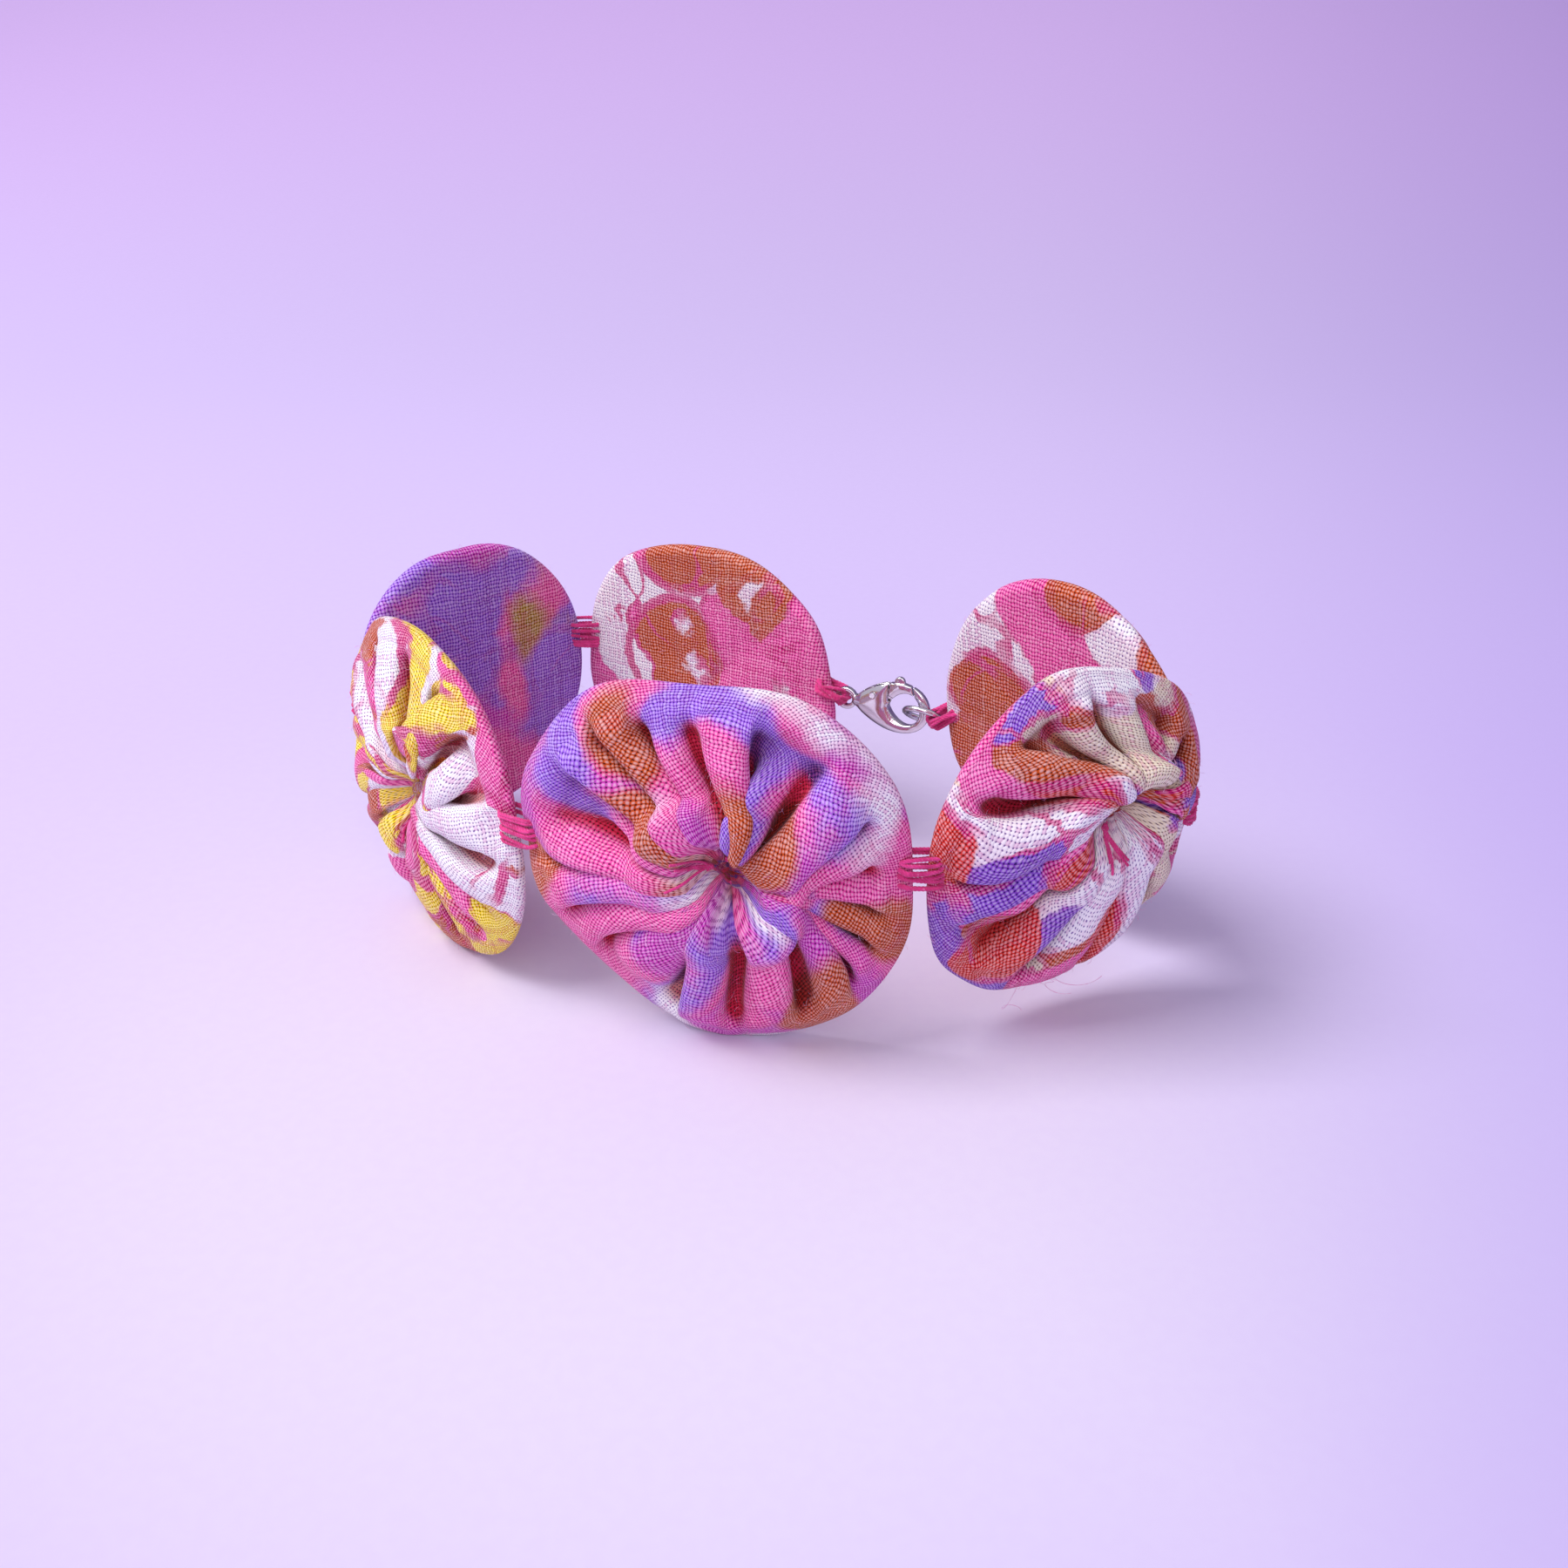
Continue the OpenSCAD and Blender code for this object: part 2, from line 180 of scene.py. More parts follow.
# %% [markdown]
# ## Where each puff is
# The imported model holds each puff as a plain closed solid: a flat back, a thin rim and a domed crown. The
# largest flat face tells which way the puff faces. Its sides and its height then come from the solid's own
# points, and the middle of the gathers comes from the thread that closes it. The cloth below is built on
# these measures, so it always sits where its solid is.


# %% Measure a puff
def mesh_arrays(mesh):
    """The points, triangle corners, normals and areas of a mesh, as arrays."""
    mesh.calc_loop_triangles()
    points = np.zeros(len(mesh.vertices) * 3)
    mesh.vertices.foreach_get("co", points)
    points = points.reshape(-1, 3)
    corners = np.array([t.vertices[:] for t in mesh.loop_triangles])
    a, b, c = (points[corners[:, k]] for k in range(3))
    cross = np.cross(b - a, c - a)
    area = np.linalg.norm(cross, axis=1) / 2
    normal = cross / np.maximum(2 * area, 1e-18)[:, None]
    return points, corners, normal, area


class PuffPlace:
    """The frame of one puff: u runs along the chain, v up the puff, and n out of its crown."""

    def __init__(self, name):
        points, _, normal, area = mesh_arrays(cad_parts[name + "_puff"].data)
        rounded = np.round(normal, 2)
        faces, inverse = np.unique(rounded, axis=0, return_inverse=True)
        flat = faces[np.argmax(np.bincount(inverse.ravel(), weights=area))]
        same = np.all(np.abs(normal - flat) < 0.02, axis=1)
        back = (normal[same] * area[same][:, None]).sum(0)
        self.n = -back / np.linalg.norm(back)
        self.u = np.cross((0, 0, 1), self.n)
        self.u = self.u / np.linalg.norm(self.u)
        self.v = np.cross(self.n, self.u)
        along, up, out = points @ self.u, points @ self.v, points @ self.n
        self.half_w = (along.max() - along.min()) / 2
        self.half_h = (up.max() - up.min()) / 2
        self.crown = out.max() - out.min()
        centre = (along.max() + along.min()) / 2, (up.max() + up.min()) / 2
        self.centre = self.u * centre[0] + self.v * centre[1] + self.n * (out.min() + BACK)
        thread = mesh_arrays(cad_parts[name + "_gathering_thread"].data)[0]
        middle = (thread.max(0) + thread.min(0)) / 2 - self.centre
        self.mouth = np.array((middle @ self.u, middle @ self.v))
        self.size = math.sqrt(self.half_w * self.half_h)

    def place(self, u, v, n):
        """Points given in the puff's own frame, as points in the model's frame."""
        return self.centre + u[..., None] * self.u + v[..., None] * self.v + n[..., None] * self.n


place = {name: PuffPlace(name) for name in PUFFS}
for name, p in place.items():
    print(f"{name}: {2 * p.half_w / MM:.1f} x {2 * p.half_h / MM:.1f} mm, crown {p.crown / MM:.1f} mm,"
          f" mouth {p.mouth[0] / MM:.1f}, {p.mouth[1] / MM:.1f}, faces {np.round(p.n, 2)}")


# %% [markdown]
# ## How gathered cloth folds
# A ring of the flat cloth that lies far from its middle is longer than the ring it has to fit into once the
# edge is drawn in, so the spare length stands up as pleats. A sheet that doesn't stretch takes the shape of a
# river's meander: the line's slope swings to and fro as a sine. One number, the largest slope, then fits
# the spare length, up to a slope just short of the one where a fold would run into itself. The same rule
# makes a shallow wave near the rim and tall pleats that lean over near the middle. That is why the pleats
# here are computed ring by ring, and not pushed up out of a plain dome.


# %% Meander rule
def smooth(value, low=0.0, high=1.0):
    """0 below low, 1 above high, and a smooth step between."""
    t = np.clip((value - low) / (high - low), 0, 1)
    return t * t * (3 - 2 * t)


def round_curve(angles, points):
    """Values at angles in degrees, smooth and closed round the turn, through (angle, value) pairs."""
    points = sorted(points)
    at = np.array([a for a, _ in points], float)
    value = np.array([b for _, b in points], float)
    at = np.concatenate((at[-2:] - 360, at, at[:2] + 360))
    value = np.concatenate((value[-2:], value, value[:2]))
    angles = (np.asarray(angles) - points[0][0]) % 360 + points[0][0]
    k = np.clip(np.searchsorted(at, angles, side="right") - 1, 0, len(at) - 2)
    t = smooth((angles - at[k]) / (at[k + 1] - at[k]))
    return value[k] * (1 - t) + value[k + 1] * t


def largest_slope(wave, spare):
    """The factor on each row of wave that makes the mean of its cosine 1 / spare, by halving."""
    low, high = np.zeros(len(wave)), np.full(len(wave), 4.0)
    for _ in range(30):
        middle = (low + high) / 2
        too_low = np.cos(np.clip(wave * middle[:, None], -2.1, 2.1)).mean(1) > 1 / spare
        low, high = np.where(too_low, middle, low), np.where(too_low, high, middle)
    return (low + high) / 2


# %% [markdown]
# ## The pleats of each puff
# Each pleat is a ridge at some angle round the gathers, with its own weight, the place where it starts on the
# way in from the rim, and a lean to one side. The front puff is seen close to, so its pleats are listed one
# by one. Hand gathering is uneven, and the other puffs get their unevenness from a fixed seed.

# %% Pleat lists
# Angle round the gathers in degrees, start from 0 at the rim to 1 at the mouth, weight, sideways lean, and
# how sharply the cloth creases beside the ridge, from 0 for an even wave to 1 for a roll between two creases.
FRONT_PLEATS = [
    (13, 0.10, 0.8, -0.8, 0.6), (0, 0.00, 1.0, -0.5, 0.5), (-13, 0.02, 1.0, 0.3, 0.7),
    (-28, 0.03, 1.0, 0.5, 0.7), (-48, 0.0, 1.3, 0.9, 0.3), (-70, 0.05, 1.0, 0.7, 0.5),
    (-92, 0.0, 1.3, -0.6, 0.4), (-121, 0.12, 0.8, -0.3, 0.8), (-146, 0.03, 1.0, 0.4, 0.7),
    (-167, 0.0, 1.2, 0.4, 0.5), (168, 0.05, 1.1, 0.6, 0.2), (153, 0.36, 0.6, 0.2, 0.0),
    (137, 0.0, 1.3, 0.6, 0.1), (118, 0.0, 1.3, 0.5, 0.4), (103, 0.1, 0.8, 0.2, 0.5),
    (84, 0.0, 1.2, -0.4, 0.6), (60, 0.28, 0.7, 0.6, 0.3), (38, 0.08, 1.1, -0.5, 0.9),
]


def uneven_pleats(seed, count):
    """A list of pleats spread round the gathers, with uneven steps, starts, weights, leans and creases."""
    chance = np.random.default_rng(seed)
    step = chance.uniform(0.55, 1.6, count)
    angle = np.cumsum(step) / step.sum() * 360 + chance.uniform(0, 360)
    made = []
    for a, width in zip(angle, step):
        start = chance.uniform(0.0, 0.06) if width > 0.8 else chance.uniform(0.08, 0.35)
        made.append((a, start, chance.uniform(0.8, 1.3), chance.uniform(-0.8, 0.8), chance.uniform(0.0, 0.9)))
    return made


pleats = {
    "front": FRONT_PLEATS,
    "right": uneven_pleats(5, 15),
    "back_right": uneven_pleats(11, 14),
    "back": uneven_pleats(3, 16),
    "back_left": uneven_pleats(8, 14),
    "left": uneven_pleats(21, 16),
}
# How far the outline stands out past an ellipse, in millimetres at angles in degrees.
outline = {
    "front": [(0, 0), (35, 1.0), (62, 1.3), (90, 0.2), (125, 1.7), (150, 1.0), (180, 0), (222, -1.5),
              (270, 0.3), (318, 0.3)],
    "right": [(0, 0), (40, 0.3), (75, -0.3), (110, 0.5), (145, 0.2), (180, 0), (230, 0.5), (280, -0.2),
              (320, -0.6)],
    "back_right": [(0, 0), (45, 0.6), (90, 0.9), (135, 0.2), (180, 0), (225, 0.4), (290, -0.3)],
    "back": [(0, 0), (40, 0.5), (85, -0.2), (130, 0.5), (180, 0), (235, 0.2), (270, 0.0), (310, 0.4)],
    "back_left": [(0, 0), (50, 1.5), (90, 0.4), (135, 0.2), (180, 0), (230, -0.4), (300, 0.3)],
    "left": [(0, 0), (35, 0.4), (80, -0.3), (125, 0.6), (180, 0.6), (215, -0.3), (265, 0.1), (320, 0.5)],
}
# The gathers close to a slit rather than a point, and it runs at this angle.
slit_angle = {"front": -50, "right": 20, "back_right": 70, "back": 120, "back_left": -30, "left": 60}
print("pleats:", {name: len(made) for name, made in pleats.items()})

# %% [markdown]
# ## Where the puffs are sewn
# Whip stitches hold two rims together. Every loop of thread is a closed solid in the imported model, so its
# long axis, width and plane come from its own points, and they tell both the path of the visible thread and
# the place where it pulls the cloth flat.


# %% Find the thread loops
def solids_of(node):
    """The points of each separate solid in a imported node."""
    points, corners, _, _ = mesh_arrays(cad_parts[node].data)
    _, same = np.unique(np.round(points, 7), axis=0, return_inverse=True)
    same = same.ravel()
    label = np.arange(same.max() + 1)
    corner = same[corners]
    while True:
        least = label[corner].min(axis=1)
        new = label.copy()
        for k in range(3):
            np.minimum.at(new, corner[:, k], least)
        if (new == label).all():
            break
        label = new
    group = label[same]
    return [points[group == g] for g in np.unique(group)]


class Loop:
    """A long closed loop of thread: its middle, its long axis, its short axis, and their half-lengths."""

    def __init__(self, points):
        low, high = points.min(0), points.max(0)
        middle = (low + high) / 2
        _, _, axes = np.linalg.svd(points - points.mean(0), full_matrices=False)
        reach = [(points - middle) @ a for a in axes]
        self.middle = middle + sum(a * (r.max() + r.min()) / 2 for a, r in zip(axes, reach))
        self.along, self.across, self.up = axes
        thick = (reach[2].max() - reach[2].min()) / 2
        self.half_l = (reach[0].max() - reach[0].min()) / 2 - thick
        self.half_w = (reach[1].max() - reach[1].min()) / 2 - thick

    def ends(self):
        straight = self.half_l - self.half_w
        return self.middle - self.along * straight, self.middle + self.along * straight


STITCH_NODES = {
    "front_left_stitches": ("front", "left"), "front_right_stitches": ("front", "right"),
    "right_stitches": ("right", "back_right"), "left_stitches": ("left", "back_left"),
    "back_left_stitches": ("back_left", "back"), "clasp_thread": ("back", "clasp"),
    "ring_thread": ("back_right", "ring"),
}
loops = {node: [Loop(points) for points in solids_of(node)] for node in STITCH_NODES}
stitched = {name: [] for name in PUFFS}
for node, bodies in STITCH_NODES.items():
    middle = np.mean([loop.middle for loop in loops[node]], axis=0)
    for name in set(bodies) & set(PUFFS):
        p = place[name]
        off = middle - p.centre
        side = p.half_w if off @ p.u > 0 else -p.half_w
        stitched[name].append((side, off @ p.v))
    print(f"{node}: {len(loops[node])} loops, {2 * loops[node][0].half_l / MM:.1f} mm long")

# %% [markdown]
# ## One circle of cloth, gathered
# The cloth is a grid of rings and spokes on its flat circle. The inner half of the rings is the back disc,
# the next few turn round the rim, and the rest fold in over the front to the mouth. Each point keeps its flat
# place as a UV map, so the weave and the print run over the pleats as they do on real cloth.

# %% Build the cloth of a puff
SPOKES = 384
BACK_RINGS, RIM_RINGS, FRONT_RINGS = 12, 6, 64
CLOTH = 0.26 * MM  # thickness
RIM = 0.75 * MM  # radius of the turn at the rim
MOUTH = 0.8 * MM  # radius to which the edge is drawn in
MOST_SPARE = 5.0  # cap on how many times longer a ring of cloth is than the ring it has to fit into
STEEPEST = 2.05  # cap on a pleat's slope in radians, short of the 2.2 where a meander touches itself
STITCH_REACH = 2.3 * MM  # distance at which a join flattens the cloth 37% as much as at its middle


def pleat_wave(listed, angle, share):
    """The slope's swing at each ring and spoke, from 0 for flat cloth, each spoke's lean, and the valleys."""
    listed = sorted((a % 360, *rest) for a, *rest in listed)
    ridge = np.array([a for a, *_ in listed])
    after = np.append(ridge[1:], ridge[0] + 360)
    valley = (ridge + after) / 2
    valley = np.concatenate((valley[-1:] - 360, valley))
    turned = (angle - valley[0]) % 360 + valley[0]
    k = np.clip(np.searchsorted(valley, turned, side="right") - 1, 0, len(listed) - 1)
    q = (turned - valley[k]) / (valley[k + 1] - valley[k])
    _, start, weight, _, crease = (np.array(column)[k] for column in zip(*listed))
    grown = smooth(share[:, None], start[None, :], start[None, :] + 0.2)
    swing = np.sin(2 * np.pi * q) + crease * (0.45 * np.sin(4 * np.pi * q) + 0.2 * np.sin(6 * np.pi * q))
    return (weight * grown * swing, round_curve(angle, [(row[0], row[3]) for row in listed]), valley[:-1])


def soften(grid, rings, spokes):
    """grid, evened out over that many rings and spokes; the spokes close round the turn."""
    for axis, wide in ((0, rings), (1, spokes)):
        if wide <= 0:
            continue
        reach = int(3 * wide)
        weight = np.exp(-0.5 * (np.arange(-reach, reach + 1) / wide) ** 2)
        weight /= weight.sum()
        padding = [(reach, reach) if a == axis else (0, 0) for a in (0, 1)]
        wider = np.pad(grid, padding, mode="edge" if axis == 0 else "wrap")
        own = np.arange(grid.shape[axis])
        grid = sum(w * np.take(wider, own + i, axis=axis) for i, w in enumerate(weight))
    return grid


def slow_noise(chance, share, phi, waves, size):
    """A smooth random number at each ring and spoke, closed round the turn."""
    made = np.zeros((len(share), len(phi)))
    for m in range(1, waves + 1):
        strength, start = chance.uniform(-1, 1), chance.uniform(0, 2 * np.pi)
        twist = chance.uniform(-2.5, 2.5)
        made += strength / m ** 0.5 * np.cos(m * phi[None, :] + start + twist * share[:, None])
    return made * size


def cloth_points(name):
    """The cloth of one puff: its points in the model's frame, and their places on the flat circle."""
    p = place[name]
    radius = p.size
    chance = np.random.default_rng(sum(map(ord, name)))
    angle = np.arange(SPOKES) / SPOKES * 360
    phi = np.radians(angle)
    edge = 1 + round_curve(angle, outline[name]) * MM / radius
    edge = edge * (1 + 0.01 * slow_noise(chance, np.zeros(1), phi, 14, 1.0)[0])
    wide = np.array((p.half_w, p.half_h)) / radius

    flat, u, v, n = [], [], [], []
    inner = radius - RIM
    back = -BACK
    dent = slow_noise(chance, np.linspace(0, 1, BACK_RINGS), phi, 9, 0.16 * MM)
    for k, share in enumerate(np.linspace(0.02, 1, BACK_RINGS)):
        t = share * inner
        flat.append(np.full(SPOKES, t))
        u.append(t * np.cos(phi) * (1 + (edge - 1) * share))
        v.append(t * np.sin(phi) * (1 + (edge - 1) * share))
        n.append(back + dent[k] * share * (1.05 - share) * 3)
    for bend in np.linspace(0, np.pi / 2, RIM_RINGS + 1)[1:]:
        flat.append(np.full(SPOKES, inner + RIM * bend))
        u.append((inner + RIM * np.sin(bend)) * np.cos(phi) * edge)
        v.append((inner + RIM * np.sin(bend)) * np.sin(phi) * edge)
        n.append(np.full(SPOKES, back + RIM * (1 - np.cos(bend))))

    # From the outermost point in: close rings at first, where the front stands up from the rim.
    share = np.linspace(0, 1, FRONT_RINGS + 1)[1:]
    inward = share ** 1.35
    start = inner + RIM * np.pi / 2
    on_flat = start + share * (2 * radius - start)
    ring = radius + (MOUTH - radius) * inward
    spare = 1 + (np.minimum(on_flat / ring, MOST_SPARE) - 1) * smooth(inward, 0, 0.13)
    wave, lean, valleys = pleat_wave(pleats[name], angle, inward)
    count = len(pleats[name])
    fine = slow_noise(chance, inward, phi, 5, 1.0)
    wave = wave + 0.35 * smooth(inward, 0.5, 0.9)[:, None] * np.sin(phi[None, :] * count * 2 + fine)
    slope = np.clip(wave * largest_slope(wave, spare)[:, None], -STEEPEST, STEEPEST)
    step = 2 * np.pi / SPOKES * (spare * ring)[:, None]
    along = np.cumsum(np.cos(slope) * step, axis=1)
    along = along / along[:, -1:] * (2 * np.pi * ring)[:, None]
    height = np.cumsum(np.sin(slope) * step, axis=1)
    height -= height[:, -1:] * (np.arange(SPOKES) / SPOKES)[None, :]
    height -= height.min(axis=1, keepdims=True)
    turn = along / ring[:, None]

    # The valleys stay near their own spokes, so that the pleats run in to the mouth without a zigzag.
    at = np.radians(valleys) % (2 * np.pi)
    order = np.argsort(at)
    at = at[order]
    for k in range(len(share)):
        off = at - np.interp(at, phi, turn[k])
        turn[k] += np.interp(phi, np.concatenate((at[-1:] - 2 * np.pi, at, at[:1] + 2 * np.pi)),
                             np.concatenate((off[-1:], off, off[:1])))
    drift = turn - phi[None, :]
    drift, height = soften(drift, 1.8, 0.8), soften(height, 1.8, 0.8)
    swirl = slow_noise(chance, inward, phi, 7, 0.17) * np.sin(np.pi * inward)[:, None]
    turn = phi[None, :] + drift + swirl

    # The crests rise from the rim to their full height half way in, and sink again at the mouth.
    rise = np.sin(np.pi / 2 * np.minimum(inward / 0.52, 1) ** 1.1)
    tuck = smooth(ring, 2.4 * MM, 0.9 * MM)
    top = (p.crown + BACK - RIM) * rise * (1 - 0.5 * tuck)
    floor = top * (1 - 0.9 * smooth(inward, 0.0, 0.24)) + 0.15 * MM
    floor = floor + (p.crown - 3.6 * MM) * smooth(inward, 0.55, 0.95) * (1 - 0.5 * tuck)
    room = np.maximum(top - floor, 0.3 * MM)
    height = room[:, None] * np.tanh(height / room[:, None] * 1.05)
    turn = turn + lean[None, :] * np.minimum(height * 0.8 / np.maximum(ring, 2.5 * MM)[:, None], 0.6)
    middle = p.mouth[None, :] * smooth(inward, 0.0, 1.0)[:, None]
    rounder = edge[None, :] ** (1 - smooth(inward, 0, 0.8))[:, None]
    slit = np.radians(slit_angle[name])
    rounder = rounder * (1 + 1.1 * smooth(inward, 0.5, 1.0)[:, None] * np.cos(turn - slit) ** 2)
    flat.extend(np.repeat(on_flat[:, None], SPOKES, axis=1))
    u.extend(middle[:, :1] + ring[:, None] * np.cos(turn) * rounder)
    v.extend(middle[:, 1:] + ring[:, None] * np.sin(turn) * rounder)
    dimple = slow_noise(chance, inward * 4, phi, 11, 0.07 * MM) * smooth(inward, 0.02, 0.2)[:, None]
    n.extend(back + RIM + floor[:, None] + height + dimple)

    flat, u, v, n = (np.array(x) for x in (flat, u, v, n))
    u, v = u * wide[0], v * wide[1]
    for hold_u, hold_v in stitched[name]:
        near = np.exp(-((u - hold_u) ** 2 + (v - hold_v) ** 2) / STITCH_REACH ** 2)
        n = n * (1 - 0.55 * near)
    # Depth in the folds, for painted shade: how far each point of the front lies below the evened-out
    # surface.
    fold_shade = np.zeros_like(n)
    front = n[-FRONT_RINGS:]
    fold_shade[-FRONT_RINGS:] = np.clip((soften(front, 4.0, 7.0) - front) / (1.1 * MM), 0, 1)
    points = p.place(u, v, n)
    points[..., 2] = np.maximum(points[..., 2], CLOTH / 2)
    spot = np.stack((flat * np.cos(phi), flat * np.sin(phi)), axis=-1)
    return points, spot, fold_shade


def grid_mesh(name, points, spot, fold_shade):
    """A closed-round grid as a mesh: rings of spokes, a point that closes each end, UV map, depth in folds
    for painted shade.
    """
    rings, spokes = points.shape[:2]
    mesh = bpy.data.meshes.new(name)
    co = np.concatenate((points.reshape(-1, 3), points[0].mean(0)[None, :], points[-1].mean(0)[None, :]))
    uv_at = np.concatenate((spot.reshape(-1, 2), spot[0].mean(0)[None, :], spot[-1][:1]))
    i, j = np.meshgrid(np.arange(rings - 1), np.arange(spokes), indexing="ij")
    a, b = i * spokes + j, i * spokes + (j + 1) % spokes
    faces = np.stack((a, b, b + spokes, a + spokes), axis=-1).reshape(-1, 4).tolist()
    middle, last = len(co) - 2, (rings - 1) * spokes
    faces += [(middle, (k + 1) % spokes, k) for k in range(spokes)]
    faces += [(middle + 1, last + k, last + (k + 1) % spokes) for k in range(spokes)]
    mesh.from_pydata(co.tolist(), [], faces)
    corner = np.zeros(len(mesh.loops), int)
    mesh.loops.foreach_get("vertex_index", corner)
    layer = mesh.uv_layers.new(name="cloth")
    layer.data.foreach_set("uv", (uv_at[corner] / MM).ravel())
    depth = mesh.attributes.new("fold_shade", "FLOAT", "POINT")
    depth.data.foreach_set("value", np.concatenate((fold_shade.ravel(), (0.0, fold_shade[-1].max()))))
    ends = np.array([at for loops_here in loops.values() for loop in loops_here for at in loop.ends()])
    gap = np.min([np.linalg.norm(co - at, axis=1) for at in ends], axis=0)
    clear = mesh.attributes.new("nap", "FLOAT", "POINT")
    clear.data.foreach_set("value", np.clip(gap / MM - 2.5, 0, 1).astype(np.float32))
    mesh.polygons.foreach_set("use_smooth", [True] * len(mesh.polygons))
    return mesh


def show(name, data, material=None):
    """An object for a finished mesh or a lamp, in the scene, at the origin."""
    obj = bpy.data.objects.new(name, data)
    bpy.context.scene.collection.objects.link(obj)
    if material is not None:
        data.materials.append(material)
    return obj


def modify(obj, name, kind, **settings):
    """Adds a modifier with its settings."""
    made = obj.modifiers.new(name, kind)
    for setting, value in settings.items():
        setattr(made, setting, value)
    return made


def finished(source, name):
    """What the modifiers of source make, as a plain mesh. The source is removed."""
    graph = bpy.context.evaluated_depsgraph_get()
    mesh = bpy.data.meshes.new_from_object(source.evaluated_get(graph))
    bpy.data.objects.remove(source)
    mesh.name = name
    return mesh


cloth = {}
for name in PUFFS:
    points, spot, fold_shade = cloth_points(name)
    cloth[name] = show(name + "_cloth", grid_mesh(name + "_cloth", points, spot, fold_shade))
    print(name, "cloth:", len(cloth[name].data.vertices), "points")


# %% [markdown]
# ## Plain weave
# Quilting cotton is a plain weave: each thread passes over one crossing thread and under the next. The group
# reads the flat place of the cloth in millimetres and gives the height of the threads, a mask of the pinholes
# where four threads meet for painted shade, and a number that differs from thread to thread.

# %% Weave group
WEAVE_PITCH = 0.31  # millimetres from thread to thread


def weave_group():
    net, given, out = new_group(
        "plain weave", [("Place", "vector"), ("Pitch", "value")],
        [("Height", "value"), ("Hole", "value"), ("Thread", "value")])
    wander = net.vector("SUBTRACT", net.noise(given["Place"], 0.9, 2.0, "Color"), (0.5, 0.5, 0.5))
    spot = net.vector("ADD", given["Place"], net.scaled(wander, 0.5))
    split = net.node("ShaderNodeSeparateXYZ", Vector=spot)
    x = net.math("DIVIDE", split.outputs["X"], given["Pitch"])
    y = net.math("DIVIDE", split.outputs["Y"], given["Pitch"])
    cell_x, cell_y = net.math("FLOOR", x), net.math("FLOOR", y)
    over = net.math("MODULO", net.math("ABSOLUTE", net.math("ADD", cell_x, cell_y)), 2.0)
    across_x = net.math("ABSOLUTE", net.math("SINE", net.math("MULTIPLY", x, math.pi)))
    across_y = net.math("ABSOLUTE", net.math("SINE", net.math("MULTIPLY", y, math.pi)))
    # On a cell where the warp is over, the top is round across x, and it dips at both ends along y.
    warp, weft = (net.math("MULTIPLY", net.math("POWER", top, 0.6), net.math("MULTIPLY_ADD", dip, 0.55, 0.45))
                  for top, dip in ((across_x, across_y), (across_y, across_x)))
    height = net.blend(over, warp, weft)
    near_corner = net.math("MAXIMUM", across_x, across_y)
    hole = net.ramp(near_corner, 0.4, 0.7, 1.0, 0.0)
    pick = net.node("ShaderNodeCombineXYZ", X=net.math("MULTIPLY", cell_x, net.math("SUBTRACT", 1.0, over)),
                    Y=net.math("MULTIPLY", cell_y, over), Z=over)
    thread = net.node("ShaderNodeTexWhiteNoise", Vector=pick.outputs[0]).outputs["Value"]
    net.fill(out, Height=height, Hole=hole, Thread=thread)
    return net.tree


WEAVE = weave_group()

# %% [markdown]
# ## Printed cotton
# The print is loose brushwork: each dye is laid over the one before in soft blots, some with a drawn outline
# in magenta. Odd dyes make flowing shapes and even dyes make round petals. Every puff has its own six dyes,
# its own part of the print and its own strength of line. The folds get painted shade: their colour is painted
# darker and deeper, as light that bounces between the walls of the folds takes up the cloth's colour twice.

# %% Print group
def blot_group():
    net, given, out = new_group(
        "dye blots",
        [("Place", "vector"), ("Shift", "vector"), ("Blot", "value", 8.0), ("Lines", "value", 1.0),
         *((f"Dye {number}", "colour") for number in range(1, 7)), ("Line", "colour")],
        [("Colour", "colour")])
    moved = net.vector("ADD", given["Place"], given["Shift"])
    spot = net.scaled(moved, net.math("DIVIDE", 1.0, given["Blot"]))
    wander = net.vector("SUBTRACT", net.noise(spot, 0.9, 1.0, "Color"), (0.5, 0.5, 0.5))
    bent = net.vector("ADD", spot, net.scaled(wander, 0.9))
    grain = net.math("MULTIPLY_ADD", net.noise(spot, 11.0, 2.0), 0.05, -0.025)
    soft = net.ramp(given["Lines"], 0.0, 1.0, 0.045, 0.006)
    colour, line = given["Dye 1"], 0.0
    for number, least in zip(range(2, 7), (0.51, 0.58, 0.56, 0.69, 0.62)):
        moved = net.vector("ADD", bent, (number * 7.3, number * -4.9, 0.0))
        if number % 2:
            petal = net.node("ShaderNodeTexVoronoi", {"voronoi_dimensions": "2D"}, Vector=moved, Scale=0.62)
            field = net.math("SUBTRACT", 0.95, petal.outputs["Distance"])
        else:
            field = net.noise(moved, 0.8, 1.0)
        field = net.math("ADD", field, grain)
        laid = net.ramp(field, net.math("SUBTRACT", least, soft), net.math("ADD", least, soft))
        colour = net.mix(laid, colour, given[f"Dye {number}"])
        off = net.math("ABSOLUTE", net.math("SUBTRACT", field, least))
        width = 0.045 if number % 2 else 0.014
        line = net.math("MAXIMUM", line, net.ramp(off, width * 0.55, width * 0.95, 1.0, 0.0))
    broken = net.ramp(net.noise(spot, 1.7, 2.0), 0.42, 0.56, 0.1, 1.0)
    line = net.math("MULTIPLY", net.math("MULTIPLY", line, broken), given["Lines"])
    wash = net.ramp(net.noise(bent, 2.6, 4.0), 0.35, 0.75, 0.0, 0.3)
    rich = net.mix(1.0, colour, net.mix(0.45, WHITE, given["Line"]), "MULTIPLY")
    colour = net.mix(line, net.mix(wash, colour, rich), given["Line"])
    net.fill(out, Colour=colour)
    return net.tree


